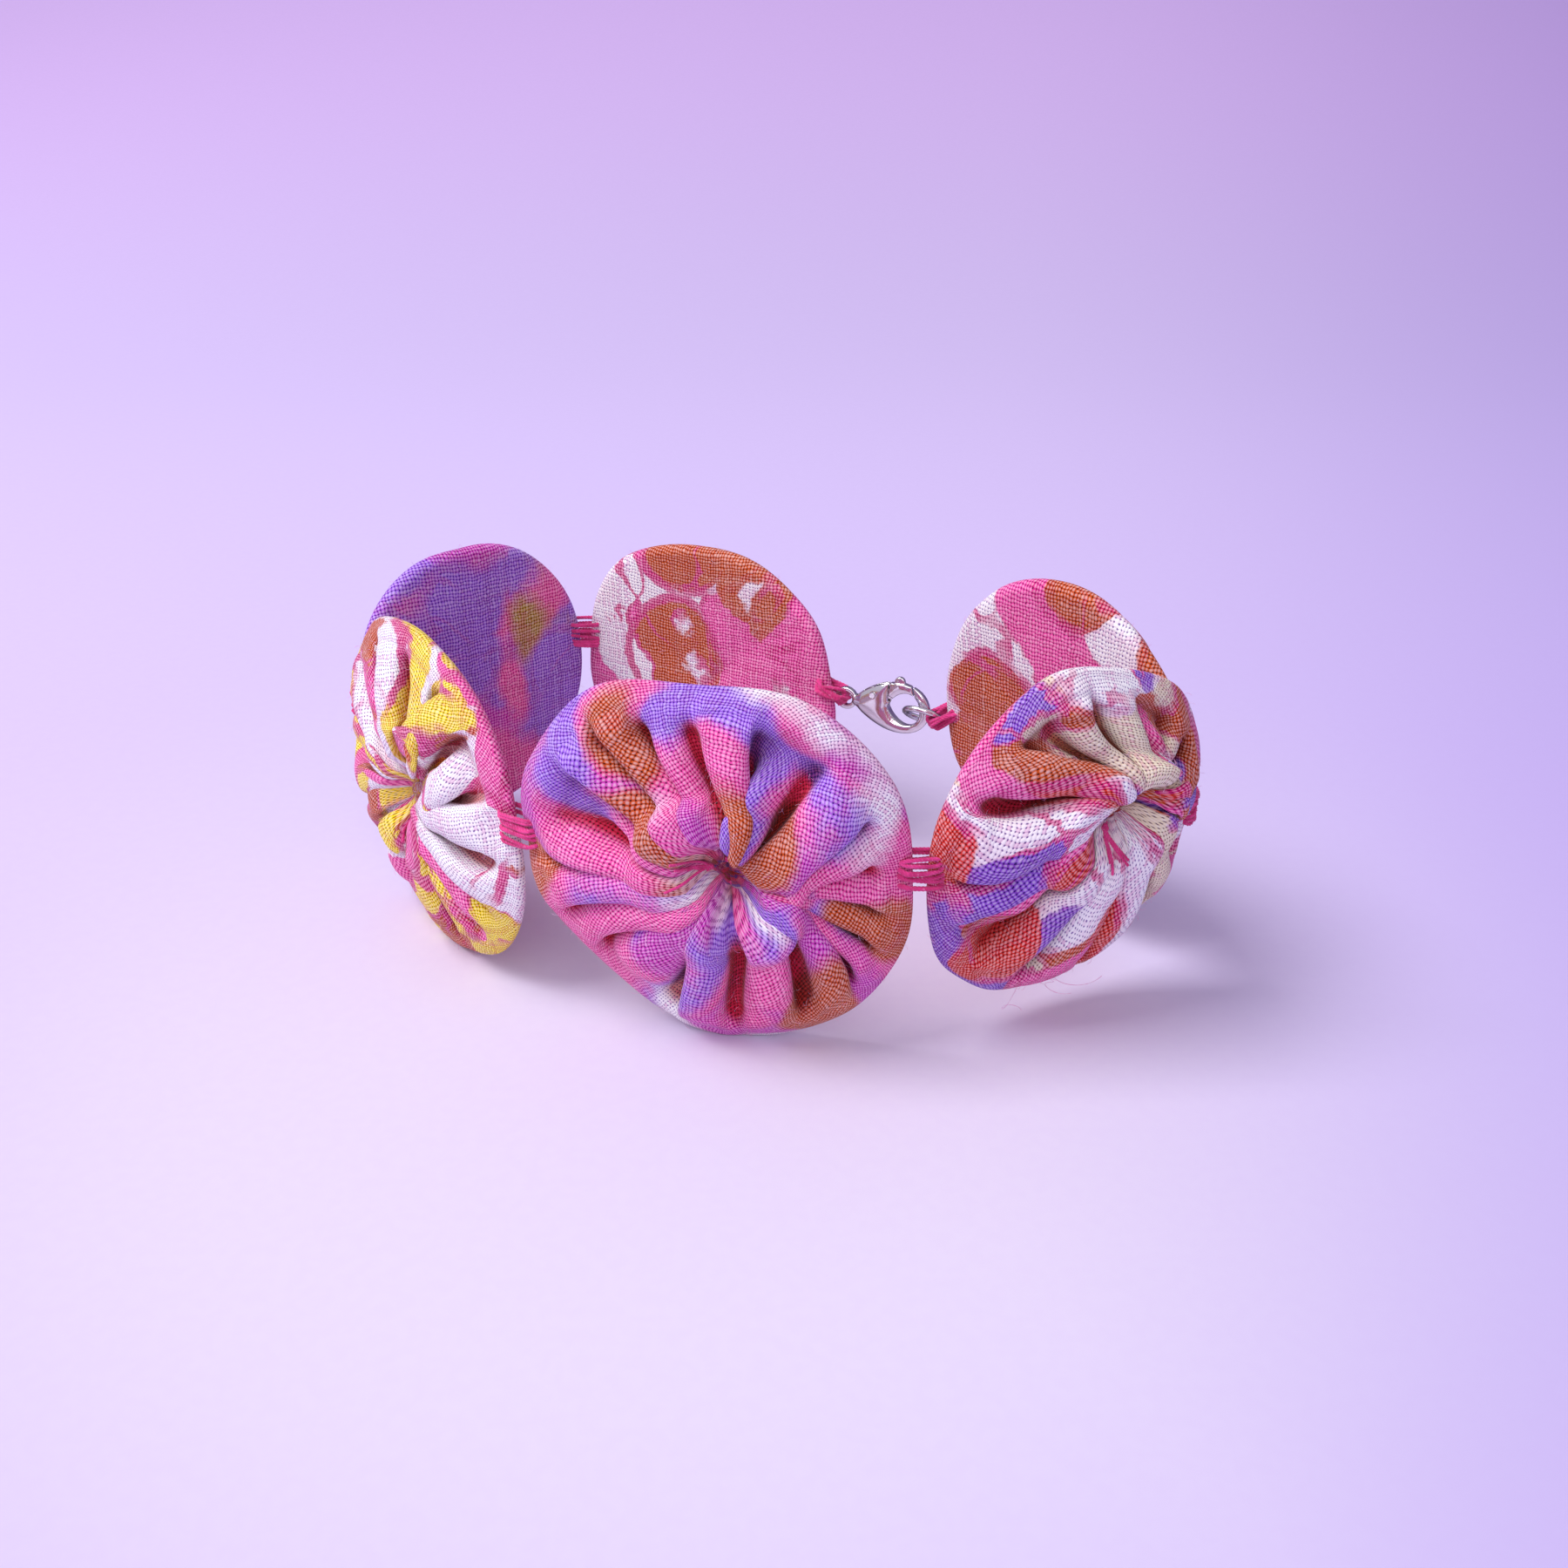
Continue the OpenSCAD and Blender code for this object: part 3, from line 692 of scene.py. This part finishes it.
MAGENTA, PINK, LILAC = srgb(214, 22, 130), srgb(244, 84, 172), srgb(160, 100, 226)
VIOLET, ORCHID, SCARLET = srgb(138, 74, 204), srgb(212, 58, 190), srgb(220, 42, 24)
ORANGE, YELLOW, OLIVE = srgb(200, 78, 0), srgb(246, 220, 30), srgb(186, 150, 50)
WHITE, CREAM = srgb(247, 244, 247), srgb(233, 219, 188)
BLOTS = blot_group()
dyes = {
    "front": ((PINK, LILAC, ORCHID, PINK, ORANGE, WHITE), (52.0, 30.0, 0.0), 0.1),
    "right": ((CREAM, ORANGE, WHITE, VIOLET, SCARLET, PINK), (40.0, -9.0, 0.0), 0.85),
    "back_right": ((WHITE, PINK, ORANGE, WHITE, ORANGE, YELLOW), (66.0, 47.0, 0.0), 0.9),
    "back": ((PINK, WHITE, ORANGE, WHITE, ORANGE, PINK), (-60.0, 31.0, 0.0), 0.9),
    "back_left": ((LILAC, ORCHID, LILAC, PINK, LILAC, OLIVE), (-25.0, -55.0, 0.0), 0.2),
    "left": ((WHITE, YELLOW, WHITE, PINK, YELLOW, ORANGE), (17.0, 70.0, 0.0), 0.95),
}


def cotton(name):
    material, net, shader = new_material("printed cotton " + name.replace("_", " "))
    colours, shift, lines = dyes[name]
    place_on_cloth = net.node("ShaderNodeUVMap", {"uv_map": "cloth"}).outputs[0]
    blots = net.group(BLOTS, Place=place_on_cloth, Shift=shift, Blot=10.5, Lines=lines, Line=MAGENTA,
                      **{f"Dye_{k + 1}": colours[k] for k in range(6)})
    weave = net.group(WEAVE, Place=place_on_cloth, Pitch=WEAVE_PITCH)
    thread = weave.outputs["Thread"]
    colour = net.mix(net.ramp(thread, 0.55, 1.0, 0.0, 0.14), blots.outputs["Colour"], WHITE)
    rich = net.mix(1.0, colour, srgb(225, 150, 205), "MULTIPLY")
    colour = net.mix(net.ramp(thread, 0.45, 0.0, 0.0, 0.6), colour, rich)
    # Painted highlight: the raised crowns of the threads are painted paler, as if they caught the light.
    crown_highlight = net.math("MULTIPLY", net.ramp(weave.outputs["Height"], 0.55, 1.0), 0.32)
    colour = net.mix(crown_highlight, colour, WHITE)
    # Painted shade: the pinholes between the threads are painted dark.
    pinhole_shade = net.mix(1.0, net.mix(1.0, colour, colour, "MULTIPLY"), srgb(128, 100, 172), "MULTIPLY")
    colour = net.mix(net.math("MULTIPLY", weave.outputs["Hole"], 0.95), colour, pinhole_shade)
    # Painted shade: deep in the folds the colour is painted darker and more saturated.
    fold_shade = net.node("ShaderNodeAttribute", {"attribute_name": "fold_shade"}).outputs["Fac"]
    painted_fold_shade = net.mix(1.0, net.mix(1.0, colour, colour, "MULTIPLY"), srgb(215, 140, 135), "MULTIPLY")
    colour = net.mix(net.ramp(fold_shade, 0.05, 0.7, 0.0, 1.0), colour, painted_fold_shade)
    fibre = net.noise(place_on_cloth, 14.0, 3.0)
    bump = net.node("ShaderNodeBump", Strength=0.7, Distance=0.07 * MM,
                    Height=net.math("MULTIPLY_ADD", fibre, 0.3, weave.outputs["Height"]))
    net.fill(shader, Base_Color=colour, Normal=bump.outputs[0], Roughness=0.85, Specular_IOR_Level=0.25,
             Sheen_Weight=0.12, Sheen_Roughness=0.4)
    return material


for name in PUFFS:
    piece = cloth[name]
    piece.data.materials.append(cotton(name))
    modify(piece, "thickness", "SOLIDIFY", thickness=CLOTH, offset=0)
    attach(piece, name)
    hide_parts(name + "_puff")
    p = place[name]
print("cotton on", len(cloth), "puffs")

# %% [markdown]
# ## Sewing thread
# Sewing thread is three plies twisted together, with short fibres standing off it. A Geometry Nodes tree
# follows any line: it copies the line once for each ply, winds the copies round the line's own direction,
# and gives each a round section. The same tree then makes every stitch, gather and wrap on the bracelet.


# %% Thread tree
def start_tree(name, sizes, counts):
    """A Geometry Nodes tree with named inputs: sizes and counts, with their usual values, and a material."""
    tree = bpy.data.node_groups.new(name, "GeometryNodeTree")
    face = tree.interface
    face.new_socket("Geometry", in_out="INPUT", socket_type="NodeSocketGeometry")
    for kind, entries in (("NodeSocketFloat", sizes), ("NodeSocketInt", counts)):
        for label, value in entries.items():
            face.new_socket(label, in_out="INPUT", socket_type=kind).default_value = value
    face.new_socket("Material", in_out="INPUT", socket_type="NodeSocketMaterial")
    face.new_socket("Geometry", in_out="OUTPUT", socket_type="NodeSocketGeometry")
    return Net(tree), tree.nodes.new("NodeGroupInput").outputs


def end_tree(net, given, geometry):
    """Ends a tree in real faces of the given material."""
    real = net.node("GeometryNodeRealizeInstances", Geometry=geometry).outputs[0]
    done = net.node("GeometryNodeSetMaterial", Geometry=real, Material=given["Material"]).outputs[0]
    net.plug(net.tree.nodes.new("NodeGroupOutput").inputs[0], done)
    return net.tree


def twisted_thread_tree():
    net, given = start_tree(
        "twisted thread",
        {"Ply Radius": 0.1 * MM, "Lay Radius": 0.1 * MM, "Pitch": 1.5 * MM, "Step": 0.1 * MM}, {"Plies": 3})
    line = net.node("GeometryNodeMeshToCurve", Mesh=given["Geometry"]).outputs[0]
    line = net.node("GeometryNodeResampleCurve", {"mode": "LENGTH"}, Curve=line,
                    Length=given["Step"]).outputs[0]
    copies = net.node("GeometryNodeDuplicateElements", {"domain": "SPLINE"}, Geometry=line,
                      Amount=given["Plies"])
    run = net.node("GeometryNodeSplineParameter").outputs["Length"]
    share = net.math("DIVIDE", copies.outputs["Duplicate Index"], given["Plies"])
    turn = net.math("MULTIPLY", net.math("ADD", share, net.math("DIVIDE", run, given["Pitch"])), 2 * math.pi)
    tangent = net.node("GeometryNodeInputTangent").outputs[0]
    side = net.node("GeometryNodeInputNormal").outputs[0]
    other = net.vector("CROSS_PRODUCT", tangent, side)
    off = net.vector("ADD", net.scaled(side, net.math("COSINE", turn)),
                     net.scaled(other, net.math("SINE", turn)))
    wound = net.node("GeometryNodeSetPosition", Geometry=copies.outputs["Geometry"],
                     Offset=net.scaled(off, given["Lay Radius"])).outputs[0]
    round_ply = net.node("GeometryNodeCurvePrimitiveCircle", Resolution=8,
                         Radius=given["Ply Radius"]).outputs[0]
    tube = net.node("GeometryNodeCurveToMesh", Curve=wound, Profile_Curve=round_ply, Fill_Caps=True)
    even = net.node("GeometryNodeSetShadeSmooth", Geometry=tube.outputs[0]).outputs[0]
    return end_tree(net, given, even)


THREAD_TREE = twisted_thread_tree()


def line_mesh(lines):
    """Lines, each (points, closed), as a mesh of edges."""
    co, edges = [], []
    for points, closed in lines:
        first = len(co)
        co.extend(map(tuple, points))
        edges.extend((k, k + 1) for k in range(first, len(co) - 1))
        if closed:
            edges.append((len(co) - 1, first))
    mesh = bpy.data.meshes.new("lines")
    mesh.from_pydata(co, edges, [])
    return mesh


def run_tree(tree, name, mesh, **values):
    """The result of a Geometry Nodes tree on a mesh, as a plain mesh object."""
    source = show(name + "_source", mesh)
    step = modify(source, "tree", "NODES", node_group=tree)
    for item in tree.interface.items_tree:
        key = item.name.replace(" ", "_")
        if item.in_out == "INPUT" and key in values:
            step[item.identifier] = values[key]
    return show(name, finished(source, name))


# %% [markdown]
# ## Thread colour
# The thread is magenta cotton. It is darker between the plies, its fibres catch the light unevenly, and it
# has no gloss.

# %% Thread material
thread_dye, net, shader = new_material("magenta sewing thread")
spot = net.node("ShaderNodeTexCoord").outputs["Object"]
fleck = net.noise(spot, 4200.0, 3.0)
tone = net.noise(spot, 700.0, 2.0)
colour = net.mix(net.ramp(tone, 0.35, 0.65), srgb(196, 22, 110), srgb(226, 52, 140))
colour = net.mix(net.ramp(fleck, 0.55, 0.8, 0.0, 0.5), colour, srgb(245, 150, 200))
fuzz = net.node("ShaderNodeBump", Strength=0.8, Distance=0.05 * MM, Height=fleck)
net.fill(shader, Base_Color=colour, Normal=fuzz.outputs[0], Roughness=0.75, Sheen_Weight=0.3)


# %% [markdown]
# ## Stitches at the joins
# Each packed loop becomes several strands that wander a little, as hand stitches do, and pass through the
# rim of both puffs.


# %% Stitches
def strand(loop, chance, wander, grow=0.0):
    """One closed strand round a loop, uneven by wander."""
    a = np.linspace(0, 2 * np.pi, 72, endpoint=False)
    straight = loop.half_l - loop.half_w
    r = loop.half_w + grow
    x = np.sign(np.cos(a)) * np.minimum(np.abs(np.cos(a)) * 3, 1) * straight + r * np.cos(a)
    y = r * np.sin(a)

    def wobble(*waves):
        return sum(chance.uniform(-1, 1) * np.cos(m * a + chance.uniform(0, 6.3)) / m for m in waves) * wander

    z = wobble(1, 2, 3)
    x = x + wobble(2, 3) * 0.5
    y = y + wobble(2, 3) * 0.5
    return (loop.middle + x[:, None] * loop.along + y[:, None] * loop.across + z[:, None] * loop.up, True)


for node, (a, b) in STITCH_NODES.items():
    chance = np.random.default_rng(len(node))
    if node in ("clasp_thread", "ring_thread"):
        name, strands, wander, slack = node + "_wrap", 7, 0.6 * MM, 0.22
    else:
        name, strands, wander, slack = node.replace("_stitches", "_whip_stitches"), 2, 0.36 * MM, 0.12
    lines = [strand(loop, chance, wander, chance.uniform(-0.05, slack) * MM)
             for loop in loops[node] for _ in range(strands)]
    piece = run_tree(THREAD_TREE, name, line_mesh(lines), Ply_Radius=0.085 * MM, Lay_Radius=0.09 * MM,
                     Pitch=0.9 * MM, Material=thread_dye)
    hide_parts(node)
    start, end = loops[node][0].ends()
    if (start - end) @ (place[a].centre - end) < 0:
        start, end = end, start
    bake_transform(piece)
    print(f"{piece.name}: {len(lines)} strands, {len(piece.data.polygons)} faces")

# %% [markdown]
# ## Gathering threads
# A running thread closes each mouth. The pleats hide most of it: it shows as two turns down in the mouth, a
# knot beside them, and a few cut ends that lie on the pleats. Their height is measured on the cloth itself.

# %% Gathering threads
def on_cloth(name, u, v, lift):
    """Points that lie on the front of a puff's cloth, at u and v in the puff's frame."""
    p = place[name]
    points = mesh_arrays(cloth[name].data)[0][-FRONT_RINGS * SPOKES - 2:] - p.centre
    made = []
    for a, b in zip(u, v):
        near = np.argpartition((points @ p.u - a) ** 2 + (points @ p.v - b) ** 2, 12)[:12]
        made.append((points[near] @ p.n).max())
    return p.place(np.asarray(u), np.asarray(v), soften(np.array(made)[:, None], 1.5, 0)[:, 0] + lift)


for name in PUFFS:
    chance = np.random.default_rng(40 + PUFFS.index(name))
    p = place[name]
    slit = math.radians(slit_angle[name])
    lines = []
    for turn in range(2):
        a = np.linspace(0, 2 * np.pi, 48, endpoint=False)
        r = (0.75 + 0.15 * turn) * MM * (1 + 0.5 * np.cos(a - slit) ** 2)
        points = on_cloth(name, p.mouth[0] + r * np.cos(a), p.mouth[1] + r * np.sin(a), -0.15 * MM)
        lines.append((points, True))
    start = slit + math.pi + 0.6
    knot = p.mouth + 1.5 * MM * np.array((math.cos(start), math.sin(start)))
    a = np.linspace(0, 6 * np.pi, 60)
    around = knot[:, None] + 0.2 * MM * np.array((np.cos(a), np.sin(a * 1.3)))
    lines.append((on_cloth(name, *around, 0.1 * MM) + (np.sin(a * 1.7) * 0.16 * MM)[:, None] * p.n, False))
    for _ in range(4):
        a = np.linspace(0, 1, 16)
        heading = start + chance.uniform(-0.7, 0.7) + a * chance.uniform(-0.6, 0.6)
        reach = a * chance.uniform(1.2, 3.0) * MM
        path = knot[:, None] + reach * np.array((np.cos(heading), np.sin(heading)))
        lines.append((on_cloth(name, *path, 0.14 * MM) + (a ** 3 * 0.3 * MM)[:, None] * p.n, False))
    piece = run_tree(THREAD_TREE, name + "_gather", line_mesh(lines), Ply_Radius=0.06 * MM,
                     Lay_Radius=0.065 * MM, Pitch=0.8 * MM, Material=thread_dye)
    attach(piece, name)
    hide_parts(name + "_gathering_thread")
print("gathering threads:", len(PUFFS))

# %% [markdown]
# ## Nap
# Washed cotton has short fibres that stand off the yarn, and they soften every edge against the light. A
# second Geometry Nodes tree scatters them over the cloth, thinner near the joins, where thread holds them
# down. Each fibre is a bent three-sided hair, turned to its own side. Three long ones have worked loose from
# the right puff and hang below its rim, each from a point of the cloth.

# %% Nap tree
def nap_tree():
    net, given = start_tree(
        "cotton nap", {"Density": 5e5, "Length": 0.6 * MM, "Fibre Radius": 0.01 * MM}, {"Seed": 1})
    nap = net.node("GeometryNodeInputNamedAttribute", {"data_type": "FLOAT"}, Name="nap").outputs["Attribute"]
    scatter = net.node("GeometryNodeDistributePointsOnFaces", Mesh=given["Geometry"], Seed=given["Seed"],
                       Density=net.math("MULTIPLY", given["Density"], nap))
    bend = net.node("GeometryNodeCurveQuadraticBezier", Resolution=4, Start=(0.0, 0.0, 0.0),
                    Middle=(0.1, 0.0, 0.6), End=(0.8, 0.15, 0.55)).outputs[0]
    length = net.node("ShaderNodeCombineXYZ", {}, {k: given["Length"] for k in range(3)}).outputs[0]
    sized = net.node("GeometryNodeTransform", Geometry=bend, Scale=length).outputs[0]
    section = net.node("GeometryNodeCurvePrimitiveCircle", Resolution=3, Radius=given["Fibre Radius"])
    hair = net.node("GeometryNodeCurveToMesh", Curve=sized, Profile_Curve=section.outputs[0])
    stand = net.node("FunctionNodeAlignRotationToVector", Vector=scatter.outputs["Normal"])
    chance = net.node("FunctionNodeRandomValue", {"data_type": "FLOAT_VECTOR"}, Min=(-0.5, -0.5, 0.0),
                      Max=(0.5, 0.5, 6.28), Seed=given["Seed"])
    turned = net.node("FunctionNodeRotateRotation", {"rotation_space": "LOCAL"},
                      Rotation=stand.outputs[0], Rotate_By=chance.outputs["Value"])
    size = net.node("FunctionNodeRandomValue", {"data_type": "FLOAT"})
    floats = [s for s in size.inputs if s.type == "VALUE"]
    net.plug(floats[0], 0.4)
    net.plug(floats[1], 1.3)
    placed = net.node("GeometryNodeInstanceOnPoints", Points=scatter.outputs["Points"],
                      Instance=hair.outputs[0], Rotation=turned.outputs[0])
    net.plug(placed.inputs["Scale"], [s for s in size.outputs if s.type == "VALUE"][0])
    return end_tree(net, given, placed.outputs[0])


NAP_TREE = nap_tree()

# %% Nap
fibre_white, net, shader = new_material("loose cotton fibre")
tone = net.noise(net.node("ShaderNodeTexCoord").outputs["Object"], 900.0, 2.0)
fleck = net.noise(net.node("ShaderNodeTexCoord").outputs["Object"], 5000.0, 2.0)
colour = net.mix(net.ramp(tone, 0.35, 0.65), srgb(244, 214, 240), srgb(226, 130, 196))
colour = net.mix(net.ramp(fleck, 0.5, 0.8, 0.0, 0.4), colour, WHITE)
net.fill(shader, Base_Color=colour, Roughness=0.8)
for name in PUFFS:
    piece = run_tree(NAP_TREE, name + "_nap", cloth[name].data.copy(), Density=5e5,
                     Seed=PUFFS.index(name), Material=fibre_white)
    for point in piece.data.vertices:
        point.co.z = max(point.co.z, 0.02 * MM)
    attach(piece, name)
    print(f"{piece.name}: {len(piece.data.polygons)} faces")
p = place["right"]
on = mesh_arrays(cloth["right"].data)[0]
lines = []
for k, (u, down, side) in enumerate(((-0.18, 0.9, -1.0), (0.0, 0.5, 0.7), (0.15, 0.8, 1.0))):
    a = np.linspace(0, 1, 30)
    across = u * p.half_w + side * (2.5 * a + 1.2 * np.sin(5 * a + k)) * MM
    below = -p.half_h + (0.4 - 1.2 * down * np.sin(3 * a)) * MM
    points = p.place(across, below, (1.2 + 2.2 * a + 0.6 * np.sin(7 * a + k)) * MM)
    far = np.linalg.norm(on - points[0], axis=1)
    print(f"fibre {k}: root moved {far.min() / MM:.2f} mm to lie on the cloth")
    points += on[far.argmin()] - points[0]
    points[:, 2] = np.maximum(points[:, 2], 0.05 * MM)
    lines.append((points, False))
piece = run_tree(THREAD_TREE, "right_loose_fibres", line_mesh(lines), Ply_Radius=0.02 * MM,
                 Lay_Radius=0.0, Plies=1, Step=0.15 * MM, Material=fibre_white)
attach(piece, "right")

# %% [markdown]
# ## Silver findings
# The clasp is cast and tumbled until every edge is round, which a sharp CAD solid doesn't show. A fine voxel
# remesh of a copy, followed by smoothing, rounds all edges by the same small amount. Both faces are then
# domed: the casting keeps its full thickness inside and thins out towards its outline. The jump ring is a
# length of round wire bent until its cut ends almost meet.

# %% Polished silver
silver, net, shader = new_material("polished silver")
spot = net.node("ShaderNodeTexCoord").outputs["Object"]
tarnish = net.noise(spot, 500.0, 3.0)
scratch = net.noise(net.vector("MULTIPLY", spot, (1.0, 1.0, 9.0)), 2500.0, 2.0)
clean = net.mix(net.ramp(tarnish, 0.45, 0.8, 0.0, 0.5), srgb(244, 243, 246), srgb(226, 220, 226))
# Painted reflection: the colour is painted dark where the surface turns edge-on, for the dark surroundings a
# polished edge reflects.
edge_on = net.node("ShaderNodeLayerWeight", Blend=0.5).outputs["Facing"]
silver_with_painted_dark_edges = net.mix(net.ramp(edge_on, 0.18, 0.7, 0.0, 0.92), clean, srgb(78, 66, 84))
polish = net.node("ShaderNodeBump", Strength=0.1, Distance=0.02 * MM, Height=net.noise(spot, 600.0, 2.0))
net.fill(shader, Base_Color=silver_with_painted_dark_edges, Normal=polish.outputs[0], Metallic=0.9,
         Roughness=net.ramp(scratch, 0.3, 0.8, 0.12, 0.22))


def domed(mesh, least, width, bore):
    """Domes the two faces of a flat casting: full thickness inside, and least of it at the outline.

    The outline is every wall that nothing covers, apart from the small bore for the pin. The share of the
    thickness is evened out over the mesh, so that the dome has no ridge.
    """
    points, corners, _, _ = mesh_arrays(mesh)
    normals = np.zeros(len(mesh.vertices) * 3)
    mesh.vertices.foreach_get("normal", normals)
    normals = normals.reshape(-1, 3)
    middle = (points.max(0) + points.min(0)) / 2
    _, _, axes = np.linalg.svd(points - points.mean(0), full_matrices=False)
    face = axes[2]
    depth = (points - middle) @ face
    flat = points - depth[:, None] * face
    away = bore - middle
    away = np.linalg.norm(flat - middle - (away - (away @ face) * face), axis=1)
    solid = bvhtree.BVHTree.FromPolygons(points.tolist(), corners.tolist())
    wall = [k for k in np.nonzero((np.abs(normals @ face) < 0.4) & (away > 0.5 * MM))[0]
            if all(solid.ray_cast(Vector(points[k] + normals[k] * 0.02 * MM), Vector(way))[0] is None
                   for way in (face, -face))]
    tree = kdtree.KDTree(len(wall))
    for at in wall:
        tree.insert(flat[at], int(at))
    tree.balance()
    off = np.array([tree.find(at)[2] for at in flat])
    round_off = np.sqrt(np.clip(1 - (1 - np.minimum(off / width, 1)) ** 2, 0, 1))
    ends = np.zeros(len(mesh.edges) * 2, int)
    mesh.edges.foreach_get("vertices", ends)
    ends = ends.reshape(-1, 2)
    count = np.bincount(ends.ravel(), minlength=len(points))
    for _ in range(40):
        near = np.bincount(ends[:, 0], round_off[ends[:, 1]], len(points))
        near += np.bincount(ends[:, 1], round_off[ends[:, 0]], len(points))
        round_off = (round_off + near / count) / 2
    points = flat + (depth * (least + (1 - least) * round_off))[:, None] * face
    mesh.vertices.foreach_set("co", points.ravel())
    mesh.update()


def tumbled(node, name, voxel, passes):
    """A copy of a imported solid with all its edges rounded, as a plain mesh object."""
    source = show(name + "_source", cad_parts[node].data.copy())
    modify(source, "weld", "WELD", merge_threshold=1e-6)
    modify(source, "cells", "REMESH", mode="VOXEL", voxel_size=voxel, use_smooth_shade=True)
    modify(source, "soft", "SMOOTH", iterations=passes, factor=0.5)
    mesh = finished(source, name)
    mesh.materials.clear()
    domed(mesh, 0.35, 1.2 * MM, np.mean(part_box("clasp_pin"), axis=0))
    piece = show(name, mesh, silver)
    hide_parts(node)
    print(f"{name}: {len(mesh.polygons)} faces")
    return piece


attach(tumbled("clasp_body", "clasp_body_cast", 0.07 * MM, 6), "clasp")
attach(tumbled("clasp_lever", "clasp_lever_cast", 0.06 * MM, 4), "lever")

# %% Jump ring
points = solids_of("jump_ring")[0]
middle = (points.min(0) + points.max(0)) / 2
_, _, axes = np.linalg.svd(points - middle, full_matrices=False)
reach = [np.abs((points - middle) @ a).max() for a in axes]
wire = reach[2]
round_r = reach[0] - wire
cut = 0.012
a = np.linspace(cut, 2 * np.pi - cut, 97)
line = middle + round_r * (np.cos(a)[:, None] * axes[0] + np.sin(a)[:, None] * axes[1])
ring = run_tree(THREAD_TREE, "jump_ring_wire", line_mesh([(line, False)]), Ply_Radius=wire,
                Lay_Radius=0.0, Plies=1, Step=0.1 * MM, Material=silver)
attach(ring, "ring")
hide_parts("jump_ring")
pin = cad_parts["clasp_pin"]
pin.data.materials.clear()
pin.data.materials.append(silver)

# The leaf spring lies under the lever's tail, which presses it flat as the gate opens.
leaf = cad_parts["clasp_spring"].data.copy()
leaf.materials.clear()
spring = show("clasp_spring_leaf", leaf, silver)
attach(spring, "clasp")
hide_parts("clasp_spring")
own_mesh(spring)
print(f"jump ring: {2 * (round_r + wire) / MM:.2f} mm across, wire {2 * wire / MM:.2f} mm")

# %% [markdown]
# ## Table and light
# The bracelet stands on a pale lilac sheet that runs back out of the camera's view. Painted light on it
# stands in for the lamp's falloff: it is painted paler round the bracelet and darker away from the middle,
# with painted shade towards the front and to the right. A soft lamp above on the left is the main light, and
# a larger one in front fills the folds.

# %% Stage
def sweep_mesh():
    """A sheet of paper that lies flat, then curves up behind into a wall."""
    line = [(-2.0, 0.0), (0.22, 0.0)]
    line += [(0.22 + 1.6 * math.sin(a), 1.6 - 1.6 * math.cos(a)) for a in np.linspace(0.02, 1.3, 64)]
    mesh = bpy.data.meshes.new("paper sweep")
    points = [(x, y, z) for y, z in line for x in (-3.0, 3.0)]
    faces = [(2 * k, 2 * k + 1, 2 * k + 3, 2 * k + 2) for k in range(len(line) - 1)]
    mesh.from_pydata(points, [], faces)
    mesh.polygons.foreach_set("use_smooth", [True] * len(faces))
    return mesh


paper, net, shader = new_material("pale paper")
spot = net.node("ShaderNodeTexCoord").outputs["Object"]
grain = net.ramp(net.noise(spot, 900.0, 2.0), 0.3, 0.7, 0.0, 0.05)
split = net.node("ShaderNodeSeparateXYZ", Vector=spot)
far = net.vector("LENGTH", net.vector("SUBTRACT", spot, (0.0, -0.03, 0.0)))
# Painted light: paler round the bracelet, darker and bluer away from it, and paler again far up the wall.
paper_with_painted_light = net.mix(net.ramp(far, 0.02, 0.11), srgb(219, 209, 232), srgb(211, 194, 237))
paper_with_painted_light = net.mix(net.ramp(far, 0.25, 0.75), paper_with_painted_light, srgb(230, 198, 253))
# Painted shade: darker towards the front and away from the middle, and darker towards the right.
off = net.vector("LENGTH", net.vector("SUBTRACT", spot, (-0.01, -0.02, 0.0)))
near = net.math("MULTIPLY", net.ramp(split.outputs["Y"], -0.05, 0.02, 1.0, 0.0),
                net.ramp(off, 0.03, 0.13, 0.0, 0.65))
side = net.math("DIVIDE", split.outputs["X"], net.math("ADD", split.outputs["Y"], 0.16))
painted_shade = net.math("MAXIMUM", near, net.ramp(side, 0.1, 0.6, 0.0, 0.38))
paper_with_painted_light = net.mix(painted_shade, paper_with_painted_light, srgb(150, 125, 215))
paper_with_painted_light = net.mix(grain, paper_with_painted_light, srgb(190, 165, 220))
net.fill(shader, Base_Color=paper_with_painted_light, Roughness=0.9, Specular_IOR_Level=0.2)
sweep = show("paper_sweep", sweep_mesh(), paper)

world = bpy.data.worlds.new("room")
bpy.context.scene.world = world
world.use_nodes = True
Net(world.node_tree).fill(world.node_tree.nodes["Background"], Color=(0.86, 0.81, 1.0, 1), Strength=0.47)


def soft_lamp(name, at, aim, size, power):
    lamp = bpy.data.lights.new(name, "AREA")
    lamp.size = size
    lamp.energy = power
    obj = show(name, lamp)
    obj.location = at
    obj.rotation_euler = (Vector(aim) - Vector(at)).to_track_quat("-Z", "Y").to_euler()


soft_lamp("main lamp", (-0.45, -0.12, 0.75), (0, 0, 0.01), 0.45, 6.2)
soft_lamp("front lamp", (-0.15, -1.1, 0.75), (0, 0, 0.01), 1.1, 6.0)
bpy.context.scene.view_settings.view_transform = "Standard"
